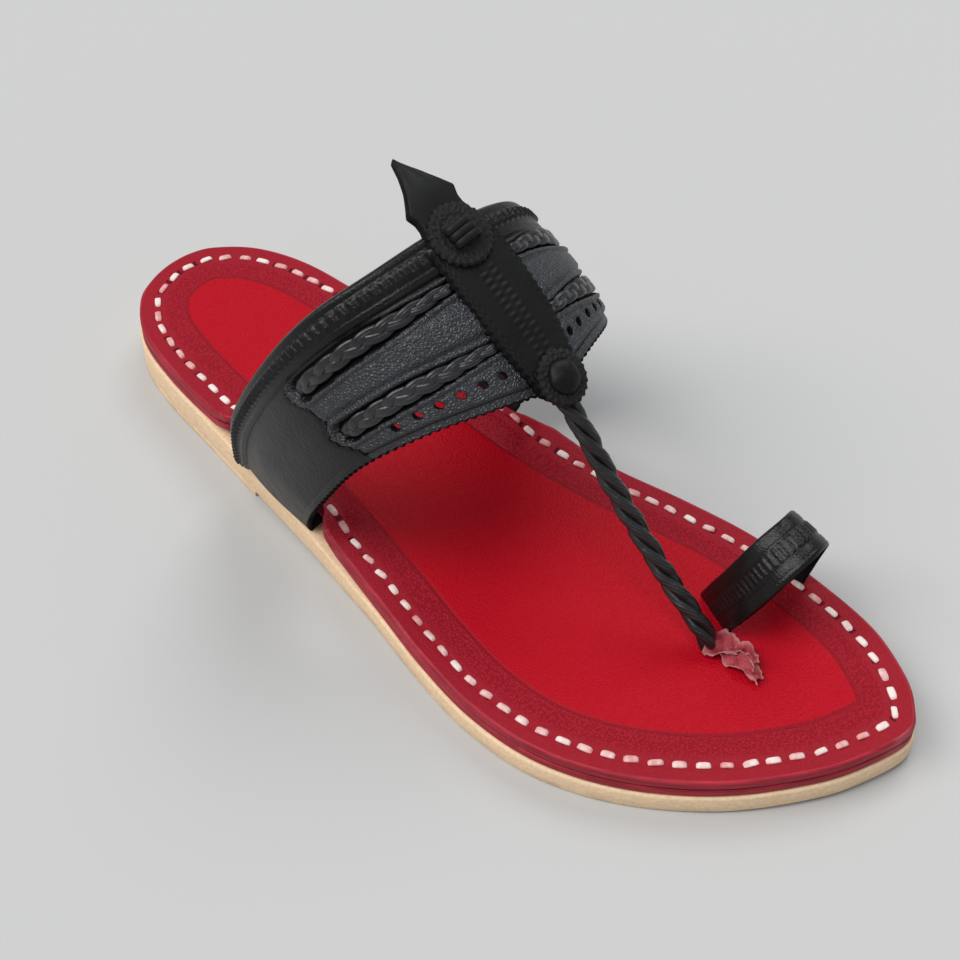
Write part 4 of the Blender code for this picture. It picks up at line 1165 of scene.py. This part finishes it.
def pinked_disc(disc, looks):
    """A pinked disc with two rings of stamped beads round a pressed middle."""
    centre, normal, along = disc_frame(disc)
    sectors = disc.teeth * 6
    angle = TURN * np.arange(sectors) / sectors
    beads = np.cos(disc.teeth * angle)[None, :] * 0.5
    reach = np.linspace(0.04, 1, 34)[:, None]
    distance = reach * (disc.radius + beads * 0.55 * MM * ease(reach, 0.90, 1.0))
    height = LEAF_THICKNESS + GAP + DISC_THICKNESS - 0.55 * MM * ease(reach, 0.92, 1.0) ** 2
    height = height + DISC_BEAD_RISE[0] * (beads + 0.5) * ridge(reach, 0.87, 0.09)
    height = height + DISC_BEAD_RISE[1] * (0.5 - beads) * ridge(reach, 0.71, 0.08)
    height = height - disc.dimple * window(reach, 0.55, 0.60, 0.05) + 0.35 * MM * (1 - ease(reach, 0.1, 0.5))
    x = distance * np.cos(angle)
    y = distance * np.sin(angle)
    height = height - x**2 / (2 * CREST_RADIUS)
    top = centre + SIDEWAYS * x[..., None] + along * y[..., None] + normal * height[..., None]
    builder = Builder()
    builder.tube(np.concatenate([top, top[-1:] - normal * 0.8 * MM]))
    builder.build(f"disc_{disc.end}", [looks["black_rough"]], [f"rosette_{disc.end}"])


def button(disc, looks):
    """A small round knot of folded leather."""
    centre, normal, along = disc_frame(disc)
    base = LEAF_THICKNESS + GAP + 0.8 * MM
    angle = TURN * np.arange(48) / 48
    rows = np.linspace(0, 1, 16)[:, None]
    radius = BUTTON_RADIUS * np.sqrt(np.clip(1 - (rows * 0.97) ** 2.4, 0, 1))
    radius = radius * (1 + 0.03 * np.cos(5 * angle))
    height = base + BUTTON_HEIGHT * rows + 0.15 * MM * np.cos(3 * angle + 1) * rows
    rings = (
        centre
        + SIDEWAYS * (radius * np.cos(angle))[..., None]
        + along * (radius * np.sin(angle))[..., None]
        + normal * height[..., None]
    )
    builder = Builder()
    builder.tube(rings)
    builder.build("knot_button", [looks["black_leaf"]], ["rosette_button"])


def loop_tab(disc, looks):
    """The rear disc's small arched tab, ribbed across."""
    centre, normal, along = disc_frame(disc)
    base = LEAF_THICKNESS + GAP + 0.9 * MM
    angle = np.linspace(0, math.pi, 41)[:, None]
    rise = TAB_RISE * np.sin(angle) ** 0.8 + 0.05 * MM
    path = centre - SIDEWAYS * TAB_HALF_SPAN * np.cos(angle) + normal * (base + rise)
    out = normal * np.sin(angle) - SIDEWAYS * np.cos(angle)
    builder = Builder()
    for shift in (-1.9, 0.0, 1.9):
        swept(builder, path + along * shift * MM, out, *TAB_STRIP)
    builder.build("loop_tab", [looks["black_leaf"]], ["rosette_loop"])


def lace(looks):
    """The raw end of the lace: a wide creased flap at the rope's foot, a narrow tail and a small fold."""
    rng = np.random.default_rng(5)
    builder = Builder()
    start = np.array([ROPE_FOOT[0] - 2.4 * MM, ROPE_FOOT[1] - 0.6 * MM])
    u, v = np.meshgrid(np.linspace(0, 1, 60), np.linspace(-1, 1, 25), indexing="ij")
    for number, flap in enumerate(FLAPS):
        half = np.interp(u, flap.places, flap.widths)
        ragged = 0.20 * np.sin(u * 23 + 2 + number) + 0.10 * np.sin(u * 47 + v)
        drift = np.interp(u, flap.places, flap.drifts)
        x = start[0] + (drift + v * (half + ragged * np.abs(v) ** 3)) * MM
        y = start[1] + (flap.ahead + flap.length * u + 0.6 * np.sin(v * 3 + u * 4 + number)) * MM
        crease = 1.25 * np.sin(u * 7 + v * 2.6 + number) + 0.45 * np.sin(u * 12 - v * 4)
        crease = crease + 0.20 * np.sin(v * 8 + u * 17)
        curl = 1.3 * v**2 * (0.35 + 0.65 * np.sin(u * 6 + 0.5 + number) ** 2)
        z = bed(y) + (1.35 + flap.lift + 0.55 * crease + curl) * MM
        z = np.maximum(z, bed(y) + 0.55 * MM) + rng.normal(0, 0.05 * MM, u.shape)
        top = np.stack([x, y, z], axis=-1)
        low = top - UPWARDS * 0.5 * MM
        low[..., 2] = np.maximum(low[..., 2], bed(y) + 0.08 * MM)
        builder.skin(top, low, row=v)
    builder.build("lace_tail", [looks["raw_lace"]], ["lace_end"])


# Finishes


class Value:
    """A shader value that takes Python's own signs; each sign adds its Math node."""

    def __init__(self, finish, socket):
        self.finish = finish
        self.socket = socket

    def math(self, operation, *others):
        return self.finish.node("Math", {"operation": operation}, [self, *others])

    def __add__(self, other):
        return self.math("ADD", other)

    def __mul__(self, other):
        return self.math("MULTIPLY", other)

    __radd__ = __add__
    __rmul__ = __mul__

    def __sub__(self, other):
        return self.math("SUBTRACT", other)

    def __rsub__(self, other):
        return self.finish.node("Math", {"operation": "SUBTRACT"}, [other, self])

    def __truediv__(self, other):
        return self.math("DIVIDE", other)

    def clip(self):
        return self.finish.node("Clamp", {}, {"Value": self})

    def ease(self, low, high):
        """0 below low, 1 above high, eased between."""
        inputs = {"Value": self, "From Min": low, "From Max": high, "To Min": 0.0, "To Max": 1.0}
        return self.finish.node("MapRange", {"interpolation_type": "SMOOTHSTEP"}, inputs)

    def between(self, low, high, ramp):
        return self.ease(low - ramp, low) * (1 - self.ease(high, high + ramp))


class Finish:
    """One material: a Principled shader and the nodes that feed it."""

    def __init__(self, name, shine=0.5, **constants):
        self.material = bpy.data.materials.new(name)
        self.material.use_nodes = True
        self.tree = self.material.node_tree
        self.shader = self.tree.nodes["Principled BSDF"]
        self.shader.inputs["Specular IOR Level"].default_value = shine
        for key, value in constants.items():
            self.shader.inputs[key.replace("_", " ").title()].default_value = value

    def node(self, kind, settings, inputs, output=0):
        """Adds a node: its settings first, then the values or links of its sockets."""
        made = self.tree.nodes.new("ShaderNode" + kind)
        for key, value in settings.items():
            setattr(made, key, value)
        pairs = enumerate(inputs) if isinstance(inputs, list) else inputs.items()
        for key, value in pairs:
            if isinstance(value, Value):
                self.tree.links.new(value.socket, made.inputs[key])
            else:
                made.inputs[key].default_value = value
        return Value(self, made.outputs[output])

    def feed(self, name, value):
        self.tree.links.new(value.socket, self.shader.inputs[name])
        return self

    def place(self):
        return self.node("TexCoord", {}, {}, "Object")

    def scaled(self, x, y, z):
        return self.node("Mapping", {}, {"Vector": self.place(), "Scale": (x, y, z)})

    def value(self, name):
        return self.node("Attribute", {"attribute_name": name}, {}, "Fac")

    def noise(self, scale, detail=3.0, roughness=0.5, vector=None):
        inputs = {"Vector": vector or self.place(), "Scale": scale, "Detail": detail, "Roughness": roughness}
        return self.node("TexNoise", {}, inputs)

    def pebbles(self, scale):
        """0 in the middle of each pebble, rising to its edges."""
        return self.node("TexVoronoi", {"feature": "F1"}, {"Vector": self.place(), "Scale": scale})

    def cracks(self, scale):
        """0 in the cracks between pebbles, rising to their middles."""
        inputs = {"Vector": self.place(), "Scale": scale}
        return self.node("TexVoronoi", {"feature": "DISTANCE_TO_EDGE"}, inputs)

    def mix(self, factor, first, second):
        inputs = {0: factor, 6: first, 7: second}
        return self.node("Mix", {"data_type": "RGBA"}, inputs, 2)

    def bump(self, height, strength, distance):
        inputs = {"Height": height, "Strength": strength, "Distance": distance}
        return self.feed("Normal", self.node("Bump", {}, inputs))


def rgb(red, green, blue):
    return (red, green, blue, 1.0)


def tan_edge():
    """The cut edge of the tan sheet sole: fine speckle, faint cutting lines, blotches darker low down."""
    finish = Finish("tan_edge", shine=0.25, roughness=0.72)
    speckle = finish.noise(900, 4, 0.7)
    lines = finish.noise(60, 3, 0.6, finish.scaled(1, 1, 14))
    height = finish.node("SeparateXYZ", {}, {"Vector": finish.place()}, "Z")
    tone = finish.mix(speckle.ease(0.35, 0.70), rgb(0.78, 0.56, 0.35), rgb(0.90, 0.68, 0.46))
    tone = finish.mix(lines.ease(0.45, 0.75) * 0.35, tone, rgb(0.66, 0.45, 0.27))
    # Blotches darker within 3.5 mm of the ground.
    darker_low_down = (1 - height.ease(0.0, 0.0035)) * finish.noise(120, 3).ease(0.30, 0.70) * 0.55
    finish.feed("Base Color", finish.mix(darker_low_down, tone, rgb(0.42, 0.30, 0.19)))
    finish.feed("Roughness", speckle * 0.2 + 0.62)
    return finish.bump(speckle + lines * 0.8, 0.35, 0.0003).material


def tan_tread():
    finish = Finish("tan_tread", shine=0.25, roughness=0.8)
    speckle = finish.noise(500, 4, 0.7)
    finish.feed("Base Color", finish.mix(speckle, rgb(0.60, 0.42, 0.25), rgb(0.76, 0.55, 0.35)))
    return finish.bump(finish.pebbles(420) + speckle * 0.5, 0.5, 0.0004).material


def red_edge():
    """The dyed cut edges of the red layers: darker, fibrous along the layers, worn lighter in places."""
    finish = Finish("red_edge", shine=0.25, roughness=0.5)
    fibres = finish.noise(70, 4, 0.65, finish.scaled(1, 1, 16))
    wear = finish.noise(45, 4, 0.6)
    tone = finish.mix(fibres.ease(0.35, 0.70), rgb(0.24, 0.007, 0.018), rgb(0.42, 0.020, 0.042))
    finish.feed("Base Color", finish.mix(wear.ease(0.60, 0.80) * 0.45, tone, rgb(0.52, 0.13, 0.14)))
    finish.feed("Roughness", fibres * 0.25 + 0.40)
    return finish.bump(fibres, 0.45, 0.0005).material


def red_bed():
    """The footbed's red leather: smooth darker margin whose tones carry a painted haze of reflection,
    stamped border, brighter grained middle, stitch holes painted dark with the shade inside them.
    """
    finish = Finish("red_bed", shine=0.10, roughness=0.42)
    edge = finish.value("edge")
    border = edge.ease(BORDER_OUTER - 0.0012, BORDER_OUTER + 0.0012)
    border = border * (1 - edge.ease(BORDER_INNER - 0.0016, BORDER_INNER + 0.0014))
    middle = edge.ease(BORDER_INNER - 0.0008, BORDER_INNER + 0.0012)
    line = edge.between(BORDER_INNER - 0.0002, BORDER_INNER + 0.0002, 0.0005)
    hole = stitch_holes(edge, finish.value("run"))
    grain = finish.pebbles(1600)
    weave = finish.pebbles(1450)
    fine = finish.noise(1500, 3, 0.6)
    cloud = finish.noise(28, 3, 0.55)
    # The margin is a darker crimson; the extra green and blue in its tones are a painted haze of reflection.
    margin = finish.mix(cloud, rgb(0.26, 0.007, 0.015), rgb(0.32, 0.011, 0.024))
    bright = finish.mix(cloud, rgb(0.38, 0.001, 0.006), rgb(0.43, 0.002, 0.014))
    stamped = finish.mix(weave.ease(0.15, 0.65), rgb(0.39, 0.011, 0.028), rgb(0.23, 0.003, 0.010))
    tone = finish.mix(border * 0.74, finish.mix(middle, margin, bright), stamped)
    tone = finish.mix(line * 0.45, tone, rgb(0.17, 0.002, 0.007))
    # The stitch holes are painted near-black red as the shade inside them; the bump below also sinks them.
    finish.feed("Base Color", finish.mix(hole * 0.85, tone, rgb(0.055, 0.001, 0.003)))
    finish.feed("Roughness", border * 0.12 + fine * 0.10 + cloud * 0.10 + 0.33)
    height = fine * 0.3 - grain * 0.9 * (1 - border) - weave * border * 1.3 - line * 0.8
    return finish.bump(height - hole * 3.0, 0.50, 0.00040).material


def stitch_holes(edge, run):
    """A mask of the holes between the stitches, where their ends go down; their dark colour is painted shade
    inside them.
    """
    _, _, loop_run = stitch_places()
    pitch = float(np.mean(np.diff(loop_run)))
    first = float(loop_run[0])
    phase = ((run - (first - pitch / 2)) / pitch).math("FRACT")
    gap = 1 - phase.math("PINGPONG", 0.5).ease(0.04, 0.15)
    return gap * edge.between(STITCH_INSET - 0.0006, STITCH_INSET + 0.0006, 0.0005)


def black(name, low, high, shine, **more):
    """A black leather: two near tones on slow clouds, and a soft sheen."""
    finish = Finish(name, shine=shine, **more)
    cloud = finish.noise(60, 3, 0.55)
    finish.feed("Base Color", finish.mix(cloud.ease(0.3, 0.7), rgb(*low), rgb(*high)))
    return finish


def black_smooth():
    finish = black("black_smooth", (0.005, 0.005, 0.006), (0.011, 0.011, 0.012), 0.33)
    creases = finish.noise(240, 4, 0.6, finish.scaled(1, 1, 0.5))
    pores = finish.pebbles(1000)
    finish.feed("Roughness", creases * 0.22 + 0.32)
    return finish.bump(creases * 0.6 - pores * 0.6, 0.35, 0.0004).material


def black_border():
    finish = black("black_border", (0.003, 0.003, 0.003), (0.007, 0.007, 0.007), 0.28)
    grain = finish.cracks(1300)
    creases = finish.noise(520, 4, 0.6)
    finish.feed("Roughness", creases * 0.25 + 0.20)
    return finish.bump(grain + creases * 0.8, 0.35, 0.00035).material


def black_grained():
    """The overlay's pebbled leather, a little blue-grey where the light catches it; the blue-grey lift of
    its black tones is painted sheen.
    """
    # These tones are lifted a little and tinted blue-grey everywhere as painted sheen.
    finish = black("black_grained", (0.012, 0.0125, 0.016), (0.020, 0.0215, 0.0275), 0.64)
    cells = finish.cracks(1250)
    warp = finish.noise(600, 3, 0.6)
    finish.feed("Roughness", warp * 0.16 + 0.33)
    return finish.bump(warp * 0.4 + cells.ease(0.0, 0.40), 0.55, 0.0005).material


def black_cut():
    """Cut and pinked edges: rougher, fibrous and matt; also laid on the slot floors as painted shade."""
    finish = black("black_cut", (0.004, 0.004, 0.004), (0.009, 0.009, 0.009), 0.07)
    fibres = finish.noise(1400, 4, 0.75)
    finish.feed("Roughness", fibres * 0.25 + 0.55)
    return finish.bump(fibres, 0.60, 0.0005).material


def black_lining():
    finish = black("black_lining", (0.010, 0.009, 0.009), (0.018, 0.017, 0.017), 0.20)
    nap = finish.noise(900, 4, 0.7)
    finish.feed("Roughness", nap * 0.2 + 0.68)
    return finish.bump(nap, 0.45, 0.0004).material


def black_leaf():
    finish = black("black_leaf", (0.004, 0.004, 0.004), (0.008, 0.008, 0.008), 0.20)
    pores = finish.noise(1300, 3, 0.6)
    creases = finish.noise(160, 3, 0.6)
    finish.feed("Roughness", pores * 0.20 + 0.40)
    return finish.bump(pores + creases, 0.22, 0.0003).material


def black_rough():
    finish = black("black_rough", (0.005, 0.005, 0.005), (0.012, 0.012, 0.012), 0.28)
    crumbs = finish.pebbles(900)
    fibres = finish.noise(1500, 4, 0.75)
    finish.feed("Roughness", fibres * 0.3 + 0.40)
    return finish.bump(crumbs + fibres, 0.70, 0.0007).material


def black_braid():
    """Braided strips, polished on their crowns, with fine folds along their length."""
    gloss = {"coat_weight": 0.20, "coat_roughness": 0.25}
    finish = black("black_braid", (0.007, 0.007, 0.008), (0.018, 0.018, 0.020), 0.5, **gloss)
    folds = finish.noise(380, 4, 0.65)
    lines = ((finish.value("row") * 9.0).math("SINE") * 0.5 + 0.5) * 0.35
    finish.feed("Roughness", folds * 0.25 + 0.20)
    return finish.bump(folds + lines, 0.40, 0.0004).material


def black_rope():
    gloss = {"coat_weight": 0.15, "coat_roughness": 0.3}
    finish = black("black_rope", (0.005, 0.005, 0.005), (0.012, 0.012, 0.013), 0.5, **gloss)
    folds = finish.noise(330, 4, 0.65)
    lines = (finish.value("row") * 11.0).math("SINE") * 0.25
    finish.feed("Roughness", folds * 0.28 + 0.26)
    return finish.bump(folds + lines, 0.55, 0.0006).material


def white_thong():
    """Thin white leather thong, slightly pink where the red dye has rubbed off on it."""
    finish = Finish("white_thong", shine=0.3, roughness=0.62)
    dye = finish.noise(420, 3, 0.6)
    fibres = finish.noise(1500, 4, 0.7)
    worn = (dye + finish.value("wear") - 0.5).ease(0.25, 0.85)
    finish.feed("Base Color", finish.mix(worn, rgb(0.83, 0.71, 0.66), rgb(0.66, 0.26, 0.26)))
    return finish.bump(fibres, 0.40, 0.0004).material


def raw_lace():
    finish = Finish("raw_lace", shine=0.25, roughness=0.78)
    fibres = finish.noise(700, 5, 0.75, finish.scaled(2.2, 1.0, 1.0))
    blotch = finish.noise(220, 3, 0.6)
    tone = finish.mix(blotch.ease(0.35, 0.65), rgb(0.34, 0.022, 0.038), rgb(0.50, 0.085, 0.105))
    # The flaps' rims are painted pale pink as a highlight along their edges; the pale fibre streaks are the
    # raw leather's own.
    rim = finish.value("row").math("ABSOLUTE").ease(0.62, 1.0)
    pale = (fibres.ease(0.55, 0.8) * 0.35 + rim * 0.40).clip()
    finish.feed("Base Color", finish.mix(pale, tone, rgb(0.76, 0.46, 0.44)))
    return finish.bump(fibres + blotch, 0.80, 0.0009).material


def pale_paper():
    finish = Finish("pale_floor", shine=0.2, roughness=0.9)
    finish.shader.inputs["Base Color"].default_value = rgb(0.50, 0.50, 0.495)
    return finish.material


# Studio


def floor():
    """A sheet of pale paper that runs back from the shoe and curves up into a wall."""
    half_width = 3.0
    back = 1.6
    bend = 0.6
    away = unit(np.array([AIM.x - EYE.x, AIM.y - EYE.y, 0.0]))
    side = np.array([-away[1], away[0], 0.0]) * half_width
    profile = [(-half_width, 0.0), (back, 0.0)]
    for angle in np.linspace(0, math.pi / 2, 20):
        profile.append((back + bend * math.sin(angle), bend - bend * math.cos(angle)))
    profile.append((back + bend, 1.3))
    middle = np.array([away * forward + UPWARDS * up for forward, up in profile])
    builder = Builder()
    builder.sheet(builder.add(np.stack([middle - side, middle + side], axis=1)))
    put("pale_floor", builder.mesh("pale_floor", [pale_paper()]))


def soft_light(name, toward, strength, tint=(1, 1, 1)):
    """A broad soft light from far off, so that the whole floor is lit alike."""
    light = bpy.data.lights.new(name, "SUN")
    light.angle = 0.58
    light.energy = strength
    light.color = tint
    put(name, light).rotation_euler = Vector(toward).to_track_quat("Z", "Y").to_euler()


def studio():
    bpy.context.scene.view_settings.view_transform = "Standard"
    world = bpy.data.worlds.new("studio")
    bpy.context.scene.world = world
    world.use_nodes = True
    sky = world.node_tree.nodes["Background"].inputs
    sky["Color"].default_value = rgb(0.92, 0.95, 1.0)
    sky["Strength"].default_value = 0.36
    soft_light("key", (0.75, -0.65, 1.12), 1.45, (1.0, 0.98, 0.95))
    soft_light("back", (-0.80, -0.20, 1.17), 1.0, (0.96, 0.98, 1.0))
    soft_light("top", (0.48, 0.02, 1.22), 1.15)


def camera():
    lens = bpy.data.cameras.new("camera")
    lens.sensor_width = 36
    lens.lens = LENS
    lens.clip_start = 0.01
    eye = put("camera", lens)
    eye.location = EYE
    eye.rotation_euler = (AIM - EYE).to_track_quat("-Z", "Y").to_euler()
    bpy.context.scene.camera = eye


def all_looks():
    makers = (
        tan_edge, tan_tread, red_edge, red_bed, black_smooth, black_border, black_grained, black_cut,
        black_lining, black_leaf, black_rough, black_braid, black_rope, white_thong, raw_lace,
    )
    return {maker.__name__: maker() for maker in makers}


def main():
    camera()
    studio()
    floor()
    looks = all_looks()
    for piece in (outsole, heel_lift, midsole, insole, stitches, band, leaf, rope, plaits, toe_ring):
        piece(looks)
    for disc, ornament in zip(DISCS, (loop_tab, button)):
        pinked_disc(disc, looks)
        ornament(disc, looks)
    lace(looks)


main()
